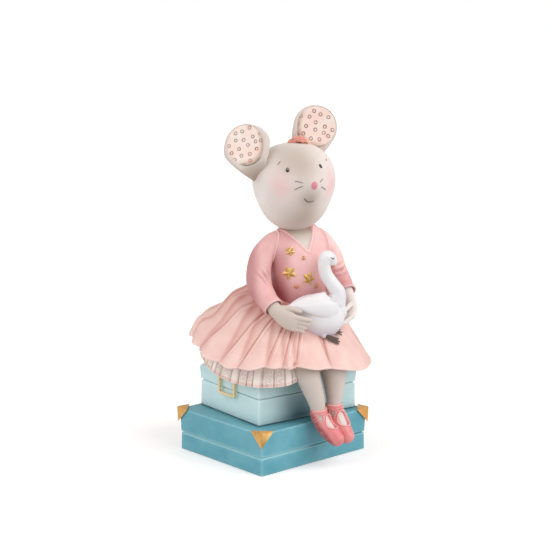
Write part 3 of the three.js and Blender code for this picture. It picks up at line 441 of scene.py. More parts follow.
def placed(points, box):
    """From the case's own frame to the model's: turned about its upright axis, then moved."""
    angle = np.radians(box["turn"])
    x = points[..., 0] * np.cos(angle) - points[..., 1] * np.sin(angle) + box["x"]
    y = points[..., 0] * np.sin(angle) + points[..., 1] * np.cos(angle) + box["y"]
    return np.stack([x, y, points[..., 2] + box["z"]], -1)


def uneven(rings, length, depth, seed):
    """Rings pushed in along their normals by the slow unevenness, never out."""
    amount = depth * (0.5 - 0.5 * unevenness(rings, length, seed))
    return rings - outward(rings) * amount[..., None]


print("reference ring:", len(reference), "points")

# %% [markdown]
# The lower suitcase carries everything, and its base has the round hole for the stopper. Its ring of
# rings is a closed loop: hole, recess, underside, side, roof, throat, ceiling, inner wall, floor.

# %% Lower suitcase
hole_radius, recess_radius, recess_depth = 13.5, 15.3, 3.3


def lower_rings():
    """Rings in order round the wall, from the hole's upper edge and back to it."""
    height, ceiling = lower_case["height"], lower_case["height"] - roof
    inside, side = inner_wall(lower_case), case_side(lower_case)
    base = [(hole_radius, floor_thickness), (hole_radius, recess_depth + 0.2),
            (hole_radius + 0.2, recess_depth), (recess_radius, recess_depth), (recess_radius, 0.3),
            (recess_radius + 0.3, 0)]
    rings = [at_height(circle_ring(radius), z) for radius, z in base]
    rings += between(rings[-1], side[0], 10) + side
    lip = at_height(mouth + unit(mouth) * 0.4, height)
    rings += between(side[-1], lip, 14) + [lip, at_height(mouth, height - 0.4), at_height(mouth, ceiling)]
    high, low = at_height(inside, ceiling), at_height(inside, floor_thickness)
    rings += between(rings[-1], high, 4) + [high] + between(high, low, 6) + [low] + between(low, rings[0], 6)
    return np.array(rings)


lower = placed(lower_rings(), lower_case)
outside_rows = slice(6, 62)
lower[outside_rows] = uneven(lower[outside_rows], 26.0, 0.16, 3)


def pale_seam(places):
    """A painted highlight on the lid's seam: at the left end and the left part of the front."""
    return bump_at(places[:, 2], 9.2, 0.7) * step_up(-places[:, 0] + 0.6 * places[:, 1], -18, -6)


def lower_stain(places):
    """Painted shade on the roof round the foot of the upper case and along the bottom edge, and none
    where the seam has its painted highlight.
    """
    turn_back = np.radians(-upper_case["turn"])
    dx, dy = places[:, 0] - upper_case["x"], places[:, 1] - upper_case["y"]
    across = np.abs(dx * np.cos(turn_back) - dy * np.sin(turn_back)) - upper_case["length"] / 2
    along = np.abs(dx * np.sin(turn_back) + dy * np.cos(turn_back)) - upper_case["depth"] / 2
    gap = np.hypot(np.maximum(across, 0), np.maximum(along, 0))
    foot = 0.25 * step_up(-places[:, 2], -1.5, 0)
    return 0.65 * np.exp(-gap / 1.9) * (places[:, 2] > 21.5) + foot - 0.75 * pale_seam(places)


piece("teal_suitcase", *skin(lower, ends=False), teal, "teal_paint", ["lower_suitcase"], wash=0.8, edge=1.3,
      soften=2, stain=lower_stain, pale=lambda places: 0.9 * pale_seam(places))

# %% [markdown]
# The upper suitcase has a closed roof, so its skin starts at the roof's middle, runs down the outside,
# up through the throat and ends at the ceiling's middle. The coin slot is cut afterwards by a Boolean
# with a rounded block, because a slot in one wall has no place in a pattern of whole rings.

# %% Upper suitcase with its coin slot
slot_width, slot_height, slot_up, slot_reach = 34.0, 5.0, 31.5, 8.0


def upper_rings():
    """Rings from the roof's middle over the outside, underside, throat and inside to the ceiling."""
    height, ceiling = upper_case["height"], upper_case["height"] - roof
    inside, side = inner_wall(upper_case), case_side(upper_case)[::-1]
    centre = at_height(mouth * 0.05, height)
    rings = [centre] + between(centre, side[0], 16) + side
    rings += between(side[-1], at_height(mouth, 0), 8) + [at_height(mouth, 0), at_height(mouth, roof)]
    low, high = at_height(inside, roof), at_height(inside, ceiling)
    rings += between(rings[-1], low, 4) + [low] + between(low, high, 6) + [high]
    return np.array(rings + between(high, at_height(mouth * 0.05, ceiling), 6))


def capsule_ring(width, height, steps=12):
    """The outline of a slot: two half circles joined by straight edges."""
    angles = np.radians(np.linspace(-90, 90, steps))
    right = np.column_stack([(width - height + height * np.cos(angles)) / 2, height / 2 * np.sin(angles)])
    return np.vstack([right, -right])


def applied(thing, *helpers):
    """The thing's mesh with its modifiers carried out. The thing and its helpers are removed."""
    bpy.context.view_layer.update()
    result = thing.evaluated_get(bpy.context.evaluated_depsgraph_get())
    mesh = bpy.data.meshes.new_from_object(result)
    mesh.shade_smooth()
    for used in (thing, *helpers):
        bpy.data.objects.remove(used)
    return mesh


def upper_stain(places):
    """Painted shade at the foot of the case, where it stands on the lower one, and a thin one under the
    skirt.
    """
    low = np.exp(-(places[:, 2] - upper_case["z"]) / 1.7)
    return 0.4 * low + 0.2 * step_up(places[:, 2], 37, 44)


def painted_shadow_of_legs(places):
    """A cool painted shadow of the legs on the front wall behind them, deepest at its foot."""
    deep = np.exp(-(places[:, 2] - upper_case["z"]) / 9.0)
    return bump_at(places[:, 0], -7.0, 14.0) * (places[:, 1] < -20) * (0.5 + 0.6 * deep)


upper = placed(upper_rings(), upper_case)
upper[:52] = uneven(upper[:52], 22.0, 0.18, 5)
slot_outline = capsule_ring(slot_width, slot_height) + [0, slot_up - upper_case["z"]]
slot_face = np.insert(slot_outline, 1, upper_case["depth"] / 2, axis=1)
slot_block = slot_face + np.array([[[0, -slot_reach, 0]], [[0, slot_reach, 0]]])
blank = linked("blank_case", mesh_of("blank_case", *skin(upper)))
cutter = linked("cutter", mesh_of("cutter", *skin(placed(slot_block, upper_case))))
cut = blank.modifiers.new("cut", "BOOLEAN")
cut.object, cut.operation, cut.solver = cutter, "DIFFERENCE", "EXACT"
dressed("aqua_suitcase", applied(blank, cutter), aqua, "aqua_paint", ["upper_suitcase"],
        wash=0.9, edge=1.3, soften=2, stain=upper_stain, shade=painted_shadow_of_legs)

# %% [markdown]
# ## Guards, clasp and stopper
# Small metal-coloured parts are cast with the case and painted ochre gold. The guards and other small
# solids already have the right shape in the frame, but their edges are knife sharp, so a merged copy
# gets a Bevel. The clasp is a flat bar bent round a rectangle: its section is carried along the path.

# %% Gold trim
gold = painted("ochre_gold_paint", "e8a340", "7c4812", "ffd88c", rough=0.36, waver=0.8, metal=0.1, coat=0.12)


def rounded_copy(node, width, segments):
    """A copy of a frame node's mesh with its doubles merged, its flat faces joined and its edges bevelled."""
    copy = linked(node + "_rounded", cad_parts[node].data.copy())
    copy.data.materials.clear()
    weld = copy.modifiers.new("weld", "WELD")
    weld.merge_threshold = 0.02 * MM
    flat = copy.modifiers.new("flat", "DECIMATE")
    flat.decimate_type, flat.angle_limit = "DISSOLVE", np.radians(2)
    bevel = copy.modifiers.new("bevel", "BEVEL")
    bevel.width, bevel.segments = width * MM, segments
    bevel.limit_method, bevel.angle_limit = "ANGLE", np.radians(20)
    return applied(copy)


def guard_stain(places):
    """Painted shade on the guards' upper faces."""
    return 0.4 * step_up(places[:, 2], 20.6, 22.2)


for place in ("front_left", "front_right", "back_left", "back_right"):
    guard = "corner_guard_" + place
    dressed("rounded_" + guard, rounded_copy(guard, 0.7, 5), gold, "gold_paint", [guard],
            wash=0.9, edge=0.35, soften=1, stain=guard_stain)

# %% The clasp's ring
pale_gold = painted("pale_gold_clasp_paint", "f2c274", "8a571c", "fff3c8", rough=0.3, waver=0.8, metal=0.12,
                    coat=0.2)
clasp_width, clasp_height, clasp_bar, clasp_thick, clasp_low, clasp_aside = 14.4, 9.6, 1.25, 1.5, 32.6, -0.6


def carried(path, normals, ups, half_width, half_height, sides=14, power=0.6):
    """A closed bar: at each path point a rounded-square section, half_width along the normal and half_height
    along up. Its outline is sign(cos)|cos|^power, sign(sin)|sin|^power."""
    angles = np.linspace(0, 2 * np.pi, sides, endpoint=False)
    wide = np.sign(np.cos(angles)) * np.abs(np.cos(angles)) ** power * half_width
    high = np.sign(np.sin(angles)) * np.abs(np.sin(angles)) ** power * half_height
    return path[:, None] + normals[:, None] * wide[:, None] + ups[:, None] * high[:, None]


clasp_path = rectangle_ring(clasp_width - clasp_bar, clasp_height - clasp_bar, 0.9, 6, 8)
clasp_out = unit(np.roll(clasp_path, -1, 0) - np.roll(clasp_path, 1, 0)) @ np.array([[0, -1], [1, 0]])
clasp_face = -(upper_case["length"] / 2 + flare + 0.3 + clasp_thick / 2)
clasp_middle = [clasp_face, clasp_aside, clasp_low + clasp_height / 2 - upper_case["z"]]
path, sideways = np.insert(clasp_path, 0, 0, axis=1) + clasp_middle, np.insert(clasp_out, 0, 0, axis=1)
lift = np.tile([-1.0, 0.0, 0.0], (len(path), 1))
clasp_rings = placed(carried(path, sideways, lift, clasp_bar / 2, clasp_thick / 2), upper_case)
piece("clasp_ring", *skin(clasp_rings, ends=False), pale_gold, "gold_paint", ["side_clasp"],
      wash=0.8, edge=1.6, soften=0)
lowest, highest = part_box("side_clasp")
print("clasp from z", round(lowest.z / MM, 1), "mm in the frame, here", clasp_rings[..., 2].min().round(1))

# %% [markdown]
# The stopper is a soft ring of black rubber with a bar to pull it by. It is a body of revolution: a
# profile turned round an axis, with a small round at each lip because rubber is never cast sharp.

# %% Rubber stopper
rubber = painted("black_rubber", "3b3b3d", "1e1e20", "6a6a6c", rough=0.75, waver=0.6, bump=0.3)


def turned(profile, columns=96, middle=(0.0, 0.0)):
    """Rings of a turned shape: each profile point (radius, height) goes once round the axis."""
    angles = np.linspace(0, 2 * np.pi, columns, endpoint=False)
    radius, height = np.asarray(profile, float).T[:, :, None]
    x = middle[0] + radius * np.cos(angles)
    y = middle[1] + radius * np.sin(angles)
    return np.stack([x, y, height + 0 * x], -1)


def rounded_profile(corners, radius, steps=5):
    """A profile whose inner corners are replaced by short curves: each is the quadratic curve from a point
    radius before the corner, pulled to the corner, to a point radius after it."""
    corners = np.asarray(corners, float)
    before, here, after = corners[:-2], corners[1:-1], corners[2:]
    reach_in = np.minimum(radius, 0.45 * np.linalg.norm(here - before, axis=1))[:, None]
    reach_out = np.minimum(radius, 0.45 * np.linalg.norm(after - here, axis=1))[:, None]
    start, end = here + unit(before - here) * reach_in, here + unit(after - here) * reach_out
    s = np.linspace(0, 1, steps)[None, :, None]
    curve = start[:, None] * (1 - s) ** 2 + here[:, None] * 2 * s * (1 - s) + end[:, None] * s**2
    return np.vstack([corners[:1], curve.reshape(-1, 2), corners[-1:]])


stopper_corners = [(0.02, 2.2), (9.2, 2.2), (9.6, 1.2), (14.45, 1.2), (14.85, 1.6), (14.85, 3.0), (13.2, 3.0),
                   (12.8, 8.4), (10.2, 8.4), (10.6, 3.8), (0.02, 3.8)]
middle = (lower_case["x"], lower_case["y"])
stopper_rings = turned(rounded_profile(stopper_corners, 0.35), middle=middle)
bar_ring = rectangle_ring(18.2, 3.0, 1.0, 6, 8)
bar_levels = [(1.28, -0.25), (1.4, -0.05), (1.6, 0.0), (2.4, 0.0)]
bar_rings = np.array([at_height(bar_ring + unit(bar_ring) * out + middle, z) for z, out in bar_levels])
piece("rubber_stopper", *joined([skin(stopper_rings), skin(bar_rings)]), rubber, "stopper_rubber", ["bung"],
      body="stopper", wash=0.6, edge=0.5, soften=1)

# %% [markdown]
# ## Skirt
# The skirt is one casting of gathered cloth: sharp valleys, round crests, a thin lit lip where one fold
# laps over the next, and a hem that rolls a little outwards. It could be sculpted or simulated. A
# formula is steadier: each azimuth knows which fold it is in, and the cloth is drawn towards the middle
# by a power of a sine that is round on the crest and sharp in the valley.

# %% Skirt folds
# The peach paint's shade tint is painted shade in the valleys and under the arms.
peach = painted("peach_skirt_paint", "efc6bc", "b4665a", "fdeae1", rough=0.55, waver=1.0,
                tints=(("shade", "c47f74"),))
skirt_middle = np.array([0.0, 0.6])
skirt_radius, hem_height, hem_tip, hem_highest = 47.8, 53.8, 7.0, np.radians(-135)
hem_sway = ((np.radians(-68), -3.4, np.radians(15)), (np.radians(-89), -3.6, np.radians(17)),
            (np.radians(-20), 2.4, np.radians(28)))
pleat_depth, pleat_share, pleat_start, pleat_lift = 4.6, 0.26, 0.55, 1.6
facing = np.radians(-18)
seat = np.array([4.3, -9.2])
lap_valleys = np.array([-104, -83, -69, -50.5, -40, -32, -7.6])
shares = np.arange(1, 10) / 10
valleys = np.append(lap_valleys, lap_valleys[-1] + (360 - (lap_valleys[-1] - lap_valleys[0])) * shares**0.66)
widths = np.diff(np.append(valleys, valleys[0] + 360))
leans = np.array([0.86, 0.9, 1.12, 0.85, 1.1, 0.9, 1.08, 0.88, 1.12, 0.9, 1.1, 0.87, 1.08, 0.9, 1.12, 0.88])


def in_mouse(across, along, up):
    """Places in the mouse's own frame: across to its left, along forwards, up. It looks along facing."""
    x = seat[0] + np.cos(facing) * across + np.sin(facing) * along
    y = seat[1] + np.sin(facing) * across - np.cos(facing) * along
    return np.stack(np.broadcast_arrays(x, y, up), -1)


def to_mouse(places):
    """The reverse of in_mouse: across, along and up of places (..., 3)."""
    x, y = places[..., 0] - seat[0], places[..., 1] - seat[1]
    return x * np.cos(facing) + y * np.sin(facing), x * np.sin(facing) - y * np.cos(facing), places[..., 2]


def on_circle(azimuth, radius):
    """Flat places at an azimuth and radius round the skirt's middle."""
    return skirt_middle + np.stack([np.sin(azimuth) * radius, -np.cos(azimuth) * radius], -1)


def azimuth_of(places):
    """The azimuth of places round the skirt's middle."""
    return np.arctan2(places[:, 0] - skirt_middle[0], skirt_middle[1] - places[:, 1])


def fold(azimuth):
    """For azimuths in radians: how far the cloth is drawn in (0 crest, 1 valley), the fold's depth in mm, its
    width in radians and the share of the way across it. Drawn = 1 - sin(pi share^lean)^0.7."""
    past = (np.degrees(azimuth) - valleys[0]) % 360
    k = np.searchsorted(valleys - valleys[0], past, side="right") - 1
    share = (past - (valleys[k] - valleys[0])) / widths[k]
    depth = np.minimum(pleat_depth, pleat_share * np.radians(widths[k]) * skirt_radius)
    drawn = 1 - np.clip(np.sin(np.pi * share ** leans[k]), 0, 1) ** 0.7
    return drawn, depth, np.radians(widths[k]), share


def hem_level(azimuth):
    """The hem's height: a tipped circle, with two dips at the mouse's right and a rise in front."""
    level = hem_height + hem_tip * np.cos(azimuth - hem_highest)
    for middle, by, spread in hem_sway:
        level = level + by * np.exp(-((np.sin((azimuth - middle) / 2) / np.sin(spread / 2)) ** 2))
    return level


def skirt_surface(azimuth, run):
    """The cloth at an azimuth and a run from waist (0) to hem (1). The flat place goes straight from the
    waist's ellipse to the hem's circle, drawn in by depth * drawn * run^0.55. Over the lap the height falls
    in a nearly straight slope. At the sides and behind it puffs out first and drops late, by run^8. A groove
    follows each valley, and a lip stands beside it. Towards the hem the sharp valleys open into a plain wave.
    At the mouse's right and behind, the cloth stands 3 to 6 mm fuller, by a sine and soft humps of the run.
    One small curl of the hem stands out in front, with a hollow beside it."""
    relative = azimuth - facing
    front = np.cos(relative)
    waist = in_mouse(15.0 * np.sin(relative), 12.8 * front, 0.0)
    drawn, depth, width, share = fold(azimuth)
    drawn = drawn + (0.22 + 0.22 * np.cos(2 * np.pi * share) - drawn) * step_up(run, 0.72, 1.0)
    corner = 2.0 * bump_at(azimuth, np.radians(48), np.radians(13)) * run**3
    hem = on_circle(azimuth, skirt_radius - 0.35 - depth * drawn * run**pleat_start + corner)
    flat = waist[..., :2] * (1 - run[..., None]) + hem * run[..., None]
    reach = np.linalg.norm(flat - skirt_middle, axis=-1)
    from_valley, past_valley = np.minimum(share, 1 - share) * width * reach, share * width * reach
    fading = step_up(run, 0.02, 0.15) * (1 - 0.75 * step_up(run, 0.8, 1))
    groove = 1.0 * np.exp(-((from_valley / 0.55) ** 2)) * fading
    lip = 0.45 * bump_at(past_valley, 1.6, 0.6) * fading
    roll = 0.35 * bump_at(run, 0.985, 0.02)
    soft = 0.3 * unevenness(np.concatenate([flat, run[..., None] * 60], -1), 24.0, 11)
    curl = 3.6 * bump_at(azimuth, np.radians(-37.0), np.radians(2.0)) * bump_at(run, 0.94, 0.06)
    curl = curl - 2.4 * bump_at(azimuth, np.radians(-33.4), np.radians(1.3)) * bump_at(run, 0.96, 0.05)
    push = lip + roll + soft + curl - groove
    flat = skirt_middle + (flat - skirt_middle) * (1 + push * 0.7 / reach)[..., None]
    puff = 0.52 * step_up(run, 0.1, 0.7) + 0.48 * run**8
    fall = puff + (0.95 * run + 0.05 * run**5 - puff) * step_up(front, -0.45, 0.25)
    waist_height = 91 + (79 - 91) * (1 + front) / 2
    low = hem_level(azimuth) + pleat_lift * drawn * depth / pleat_depth
    height = waist_height + (low - waist_height) * fall + push * 0.7 * (1 - run)
    fuller = 3.0 * np.sin(np.pi * run**0.8) + 2.6 * bump_at(run, 0.47, 0.13)
    dented = 1.2 * bump_at(run, 0.9, 0.07) - 1.5 * bump_at(run, 0.74, 0.1)
    turned_once = azimuth % (2 * np.pi)
    height = height + fuller * bump_at(turned_once, 4.15, 0.66) + dented * bump_at(turned_once, 4.1, 0.28)
    return np.concatenate([flat, height[..., None]], -1)


fold_steps = 52
clustered = 0.5 - 0.5 * np.cos(np.pi * np.arange(fold_steps) / fold_steps)
clustered = 0.35 * np.arange(fold_steps) / fold_steps + 0.65 * clustered
azimuths = np.radians(valleys[:, None] + widths[:, None] * clustered).ravel()
runs = np.linspace(0.0, 1.0, 92) ** 0.9
cloth = skirt_surface(*np.broadcast_arrays(azimuths, runs[:, None]))


def hem_rows(edge, steps=8, radius=0.8):
    """A half-round rim below the last row: it swings from the outside, under the hem, to the inside."""
    inwards = -unit(edge[:, :2] - skirt_middle)
    angles = np.linspace(0, np.pi, steps + 1)[1:, None, None]
    rim = edge[None, :, :2] + inwards * radius * (1 - np.cos(angles))
    return np.concatenate([rim, edge[None, :, 2:] - radius * 0.75 * np.sin(angles)], -1)


def inner_rows(edge, steps=10, radius=26, top=62.0):
    """The underside: from the rim's inner edge to a ring high inside, straight and slightly arched."""
    target = at_height(skirt_middle + unit(edge[:, :2] - skirt_middle) * radius, top)
    share = (np.arange(1, steps + 1) / steps)[:, None, None]
    rows = edge * (1 - share) + target * share
    rows[..., 2] += 2.5 * np.sin(np.pi * share[..., 0])
    return rows


def skirt_shade(places):
    """Painted shade: high under the arms, and in each valley, with a broad soft shade on the flank
    of the next fold and a narrow one on its own."""
    _, _, width, share = fold(azimuth_of(places))
    reach = np.linalg.norm(places[:, :2] - skirt_middle, axis=1)
    past, before = share * width * reach, (1 - share) * width * reach
    valley = 0.55 * np.exp(-((past / 2.4) ** 2)) + 0.45 * np.exp(-((before / 0.9) ** 2))
    valley = valley * (0.35 + 0.65 * step_up(places[:, 2], 50, 60)) * (reach > 15)
    return 0.35 * step_up(places[:, 2], 70, 84) + valley


rim = hem_rows(cloth[-1])
skirt_rings = np.concatenate([cloth, rim, inner_rows(rim[-1])])
print("skirt folds:", len(valleys), "widest", widths.max().round(1), "degrees")
piece("gathered_skirt", *skin(skirt_rings), peach, "peach_paint", ["skirt"], wash=1.5, edge=1.1, soften=2,
      shade=skirt_shade)

# %% [markdown]
# ## Petticoat
# Under the hem hangs a narrow frill in ivory: fine flat pleats, some plain and some of openwork lace
# with the brown wash left in its holes. The pleats are a squared wave round the hem, and the lace is
# pressed into the same surface as small scrolls and dots, so no picture is needed.

# %% Pleated lace frill
lace = painted("ivory_lace_paint", "fff6ee", "a0694f", "fffdfa", rough=0.6, waver=0.5,
               tints=(("blush", "f4cdc2"),))
frill_radius, frill_low, frill_lowest, frill_rise, frill_under = 42.2, 43.0, np.radians(-58), 18.0, 1.5
frill_top, frill_top_radius, frill_pleats, frill_columns = 64.0, 33.0, 54, 1620
seat_top, seat_radius = 44.6, 23.0


def frill_edge(azimuth):
    """The frill's lower edge: lowest at one azimuth, rising with 1 - cos away from it, and under the hem."""
    swing = 1 - np.cos(azimuth - frill_lowest)
    return np.minimum(frill_low + frill_rise * swing, hem_level(azimuth) - frill_under)


def pleat_place(azimuth):
    """The pleat's number at an azimuth and the share of the way across it, with pleats a little uneven."""
    phase = frill_pleats * azimuth / (2 * np.pi) + 0.22 * np.sin(azimuth * 11) + 0.12 * np.sin(azimuth * 23)
    return np.floor(phase), phase % 1


def lace_pattern(azimuth, down):
    """How open the lace is (0 to 1): a net of small bent rings with a dot in each, on two pleats of three,
    and a row of scallops along the edge."""
    around = azimuth * frill_radius
    count, share = pleat_place(azimuth)
    panel = (count % 3 > 0.5) * step_up(0.5 - np.abs(share - 0.5), 0.1, 0.2)
    bent_x, bent_y = around + 0.35 * np.sin(down * 1.7), down + 0.3 * np.sin(around * 1.3)
    cell_x = (bent_x + 1.2 * (np.floor(bent_y / 2.1) % 2)) % 2.4 - 1.2
    away = np.hypot(cell_x, bent_y % 2.1 - 1.05)
    rings, dots = bump_at(away, 0.8, 0.2), bump_at(away, 0.0, 0.28)
    scallop = bump_at(down, 0.8 + 0.25 * np.cos(around * np.pi / 0.95), 0.16)
    return np.clip((0.85 * rings + dots) * panel + 0.4 * scallop, 0, 1)


def frill_surface(azimuth, run):
    """The outside of the frill from its hidden top (run 0) to its edge (run 1), and how much wash it holds.
    Flat pleats, each tilted a little, are parted by narrow valleys, and the lace is pressed in by 0.16 mm.
    Behind the legs the frill stands back."""
    _, share = pleat_place(azimuth)
    valley = np.exp(-((np.minimum(share, 1 - share) / 0.11) ** 2))
    edge = frill_edge(azimuth)
    down = (1 - run) * (frill_top - edge)
    smooth = frill_top_radius + (frill_radius - frill_top_radius) * run**0.8
    smooth = smooth - 4.6 * step_up(azimuth, np.radians(-39), np.radians(-24)) * step_up(-azimuth, -0.5, -0.2)
    openwork = lace_pattern(azimuth, down)
    wave = 0.35 * (share - 0.5) - 1.0 * valley
    flat = on_circle(azimuth, smooth + wave * step_up(run, 0.1, 0.6) - 0.16 * openwork)
    height = edge + down + 0.18 * wave * step_up(run, 0.9, 1)
    wash = np.clip(openwork + 0.55 * valley * step_up(run, 0.3, 0.7), 0, 1)
    return np.concatenate([flat, height[..., None]], -1), wash


frill_azimuths = np.linspace(-np.pi, np.pi, frill_columns, endpoint=False)
frill_runs = np.concatenate([np.linspace(0, 0.3, 3)[:-1], np.linspace(0.3, 1, 46)])
frill, holes = frill_surface(*np.broadcast_arrays(frill_azimuths, frill_runs[:, None]))
edge_row = frill[-1]
inwards = -unit(edge_row[:, :2] - skirt_middle)
under = [np.column_stack([edge_row[:, :2] + inwards * reach, edge_row[:, 2] + up]) for reach, up in
         ((0.35, -0.12), (1.0, 0.0), (1.4, 0.6))]
foot = at_height(skirt_middle - inwards * seat_radius, seat_top)
frill_rings = np.concatenate([frill, under, [under[-1] * 0.5 + foot * 0.5, foot]])
hidden_rows = len(frill_rings) - len(frill)
frill_wash = np.append(holes, np.zeros(hidden_rows * frill_columns + 2))
edge_pink = np.repeat(0.75 * step_up(frill_runs, 0.86, 1.0), frill_columns)
edge_pink = np.concatenate([edge_pink, np.full(hidden_rows * frill_columns, 0.7), [0.0, 0.0]])


def frill_stain(places):
    """The open lace keeps the brown wash, and a thin painted shade lies under the hem."""
    return 0.62 * frill_wash + 0.06 * step_up(places[:, 2] - hem_level(azimuth_of(places)), -2.2, 0.8)


piece("lace_petticoat", *skin(frill_rings), lace, "lace_paint", ["petticoat"], wash=0.25, edge=0.7, soften=1,
      stain=frill_stain, blush=edge_pink)

# %% [markdown]
# ## Torso
# The bodice is a barrel, wider at the shoulders, with a wrapped V neckline. A smooth line through a few
# measured levels gives its half width and depth at any height. Inside the V the surface dives under
# the chest, and along the V a thin lip stands up like the edge of the cloth.

# %% Smooth lines and the bodice's rings
def smooth_line(points, count, power=0.25):
    """A Catmull-Rom line through the points, count places along it. Each stretch is the cubic that meets its
    two points with slopes taken from their neighbours. Power 0.25 (of squared distances) spaces it
    centripetally, and 0 evenly."""
    points = np.asarray(points, float)
    P = np.vstack([2 * points[0] - points[1], points, 2 * points[-1] - points[-2]])
    t = np.linspace(0, len(points) - 1, count)
    k = np.minimum(t.astype(int), len(points) - 2)
    s = (t - k)[:, None]
    gaps = np.maximum((np.diff(P, axis=0) ** 2).sum(1), 1e-9) ** power
    a, b, c, d = P[k], P[k + 1], P[k + 2], P[k + 3]
    g, h, i = gaps[k][:, None], gaps[k + 1][:, None], gaps[k + 2][:, None]
    start = ((b - a) / g - (c - a) / (g + h) + (c - b) / h) * h
    end = ((c - b) / h - (d - b) / (h + i) + (d - c) / i) * h
    return b + start * s + (3 * (c - b) - 2 * start - end) * s**2 + (2 * (b - c) + start + end) * s**3


torso = [(72, 14.2, 12.0, 0.2), (84, 13.9, 11.7, 0.2), (93, 14.7, 12.4, 0.4), (101, 15.6, 12.2, 0.4),
         (108, 15.8, 11.4, 0.0), (113, 14.4, 10.2, -0.4), (116.5, 11.6, 8.8, -0.6), (118.8, 8.6, 7.6, -0.6)]
torso_line = smooth_line(torso, 400, 0.25)
torso_line = torso_line[np.argsort(torso_line[:, 0])]


def torso_size(height):
    """Half width, half depth and forward shift of the torso at a height."""
    return [np.interp(height, torso_line[:, 0], torso_line[:, k]) for k in (1, 2, 3)]


def squared(value):
    """sign(v) |v|^0.92, which makes an ellipse a little fuller at its corners."""
    return np.sign(value) * np.abs(value) ** 0.92


v_point, v_left, v_right, v_top = (-0.2, 107.4), -13.8, 6.2, 121.5


def inside_v(across, up):
    """How far a place on the chest lies inside the V neckline, in mm, negative outside: the smaller of the
    distances from its two edges."""
    rise = v_top - v_point[1]
    left = np.array([rise, -(v_left - v_point[0])])
    right = np.array([-rise, v_right - v_point[0]])
    place = np.stack([across - v_point[0], up - v_point[1]], -1)
    return np.minimum(place @ left / np.linalg.norm(left), place @ right / np.linalg.norm(right))


def bodice_surface(height, angle):
    """The bodice at a height and an angle round it (0 = its left, -90 degrees = its front)."""
    wide, deep, shift = torso_size(height)
    across = wide * squared(np.cos(angle))
    along = -deep * squared(np.sin(angle)) + shift
    front = step_up(-np.sin(angle), -0.05, 0.1)
    inside = inside_v(across, height)
    dive = 2.4 * step_up(inside, -0.05, 0.7) * front
    lip = 0.34 * bump_at(inside, -0.42, 0.4) * front
    second = 0.22 * bump_at(inside, -1.5, 0.3) * front
    soft = 0.12 * unevenness(np.stack([across, along, height], -1), 16.0, 21)
    out = np.stack([np.cos(angle) / wide, np.sin(angle) / deep], -1)
    out = unit(out) * (lip - second * 0.4 + soft - dive)[..., None]
    return in_mouse(across + out[..., 0], along - out[..., 1], height)


# The rose paint's shade tint is painted shade on the bodice and the right sleeve.
rose = painted("rose_bodice_paint", "f8c2c0", "8f4247", "ffe6e2", rough=0.52, waver=1.0,
               tints=(("shade", "a9585c"),))
angles = np.linspace(0, 2 * np.pi, 260, endpoint=False)
heights = np.concatenate([np.linspace(73, 116, 130), np.linspace(116, 118.8, 12)[1:]])
bodice_rings = bodice_surface(*np.broadcast_arrays(heights[:, None], angles))


def bodice_shade(places):
    """Painted shade inside the arms, beside the neck, under the swan and down to the lap."""
    across, _, z = to_mouse(places)
    low = 0.7 * step_up(-z, -97, -79)
    sides = 0.55 * step_up(-across, 7.5, 14) * step_up(-z, -115, -103) + 0.3 * step_up(across, 9, 14)
    beside_neck = 0.4 * step_up(-across, 3.5, 9.0) * step_up(z, 110, 115)
    return low + sides + beside_neck


piece("wrapped_bodice", *skin(bodice_rings), rose, "rose_paint", ["bodice"], wash=0.8, edge=1.5, soften=2,
      shade=bodice_shade)

# %% [markdown]
# The neck widens into the part of the chest that shows in the V. Each ring is the larger of two shapes,
# the neck's column and the torso a little inside the bodice, joined smoothly: the p-norm
# (a^p + b^p)^(1/p) of two radii is close to the larger one and rounds the change between them.

# %% Neck and chest
# The fur paint's shade tint is painted shade on the head, neck, paws, ears and legs, with an airbrushed brown
# on the muzzle and chin.
fur = painted("grey_fur_paint", "f3e9e3", "8d7565", "faf4f0", rough=0.6, waver=0.9,
              tints=(("shade", "b7a394"), ("blush", "f2c0c0")))


def neck_surface(height, angle):
    """A ring of the neck: the p-norm of the column's radius and the torso's own radius less 0.9 mm."""
    wide, deep, shift = torso_size(np.minimum(height, 118.8))
    inset = 0.9 + 3.0 * step_up(height, 115.5, 118.8) + 20 * step_up(height, 118.0, 119.5)
    wide, deep = np.maximum(wide - inset, 0.5), np.maximum(deep - inset, 0.5)
    torso_radius = 1 / np.hypot(np.cos(angle) / wide, np.sin(angle) / deep)
    column = 6.2 + 0.8 * step_up(height, 112, 122)
    radius = (torso_radius**5 + column**5) ** 0.2
    lean = -2.6 * step_up(height, 108, 122) * column**5 / (torso_radius**5 + column**5)
    across = radius * squared(np.cos(angle)) + lean
    return in_mouse(across, -radius * squared(np.sin(angle)) + shift, height)


neck_angles = np.linspace(0, 2 * np.pi, 128, endpoint=False)
neck_rings = neck_surface(*np.broadcast_arrays(np.linspace(104, 122.5, 60)[:, None], neck_angles))
# The neck gets painted shade all over, deepest at the top under the chin.
piece("neck_and_chest", *skin(neck_rings), fur, "fur_paint", ["neck"], wash=0.8, edge=0.6, soften=3,
      shade=lambda places: 0.35 + 0.65 * step_up(places[:, 2], 111, 118))

# %% [markdown]
# ## Sleeves
# An arm is a tube along a bent line. The line runs through a few measured points, and a ring stands
# across it at every step, with a fixed upright direction so that the rings don't twist. Creases at
# the inner elbow are small waves pushed into the tube, strongest on the inside of the bend.

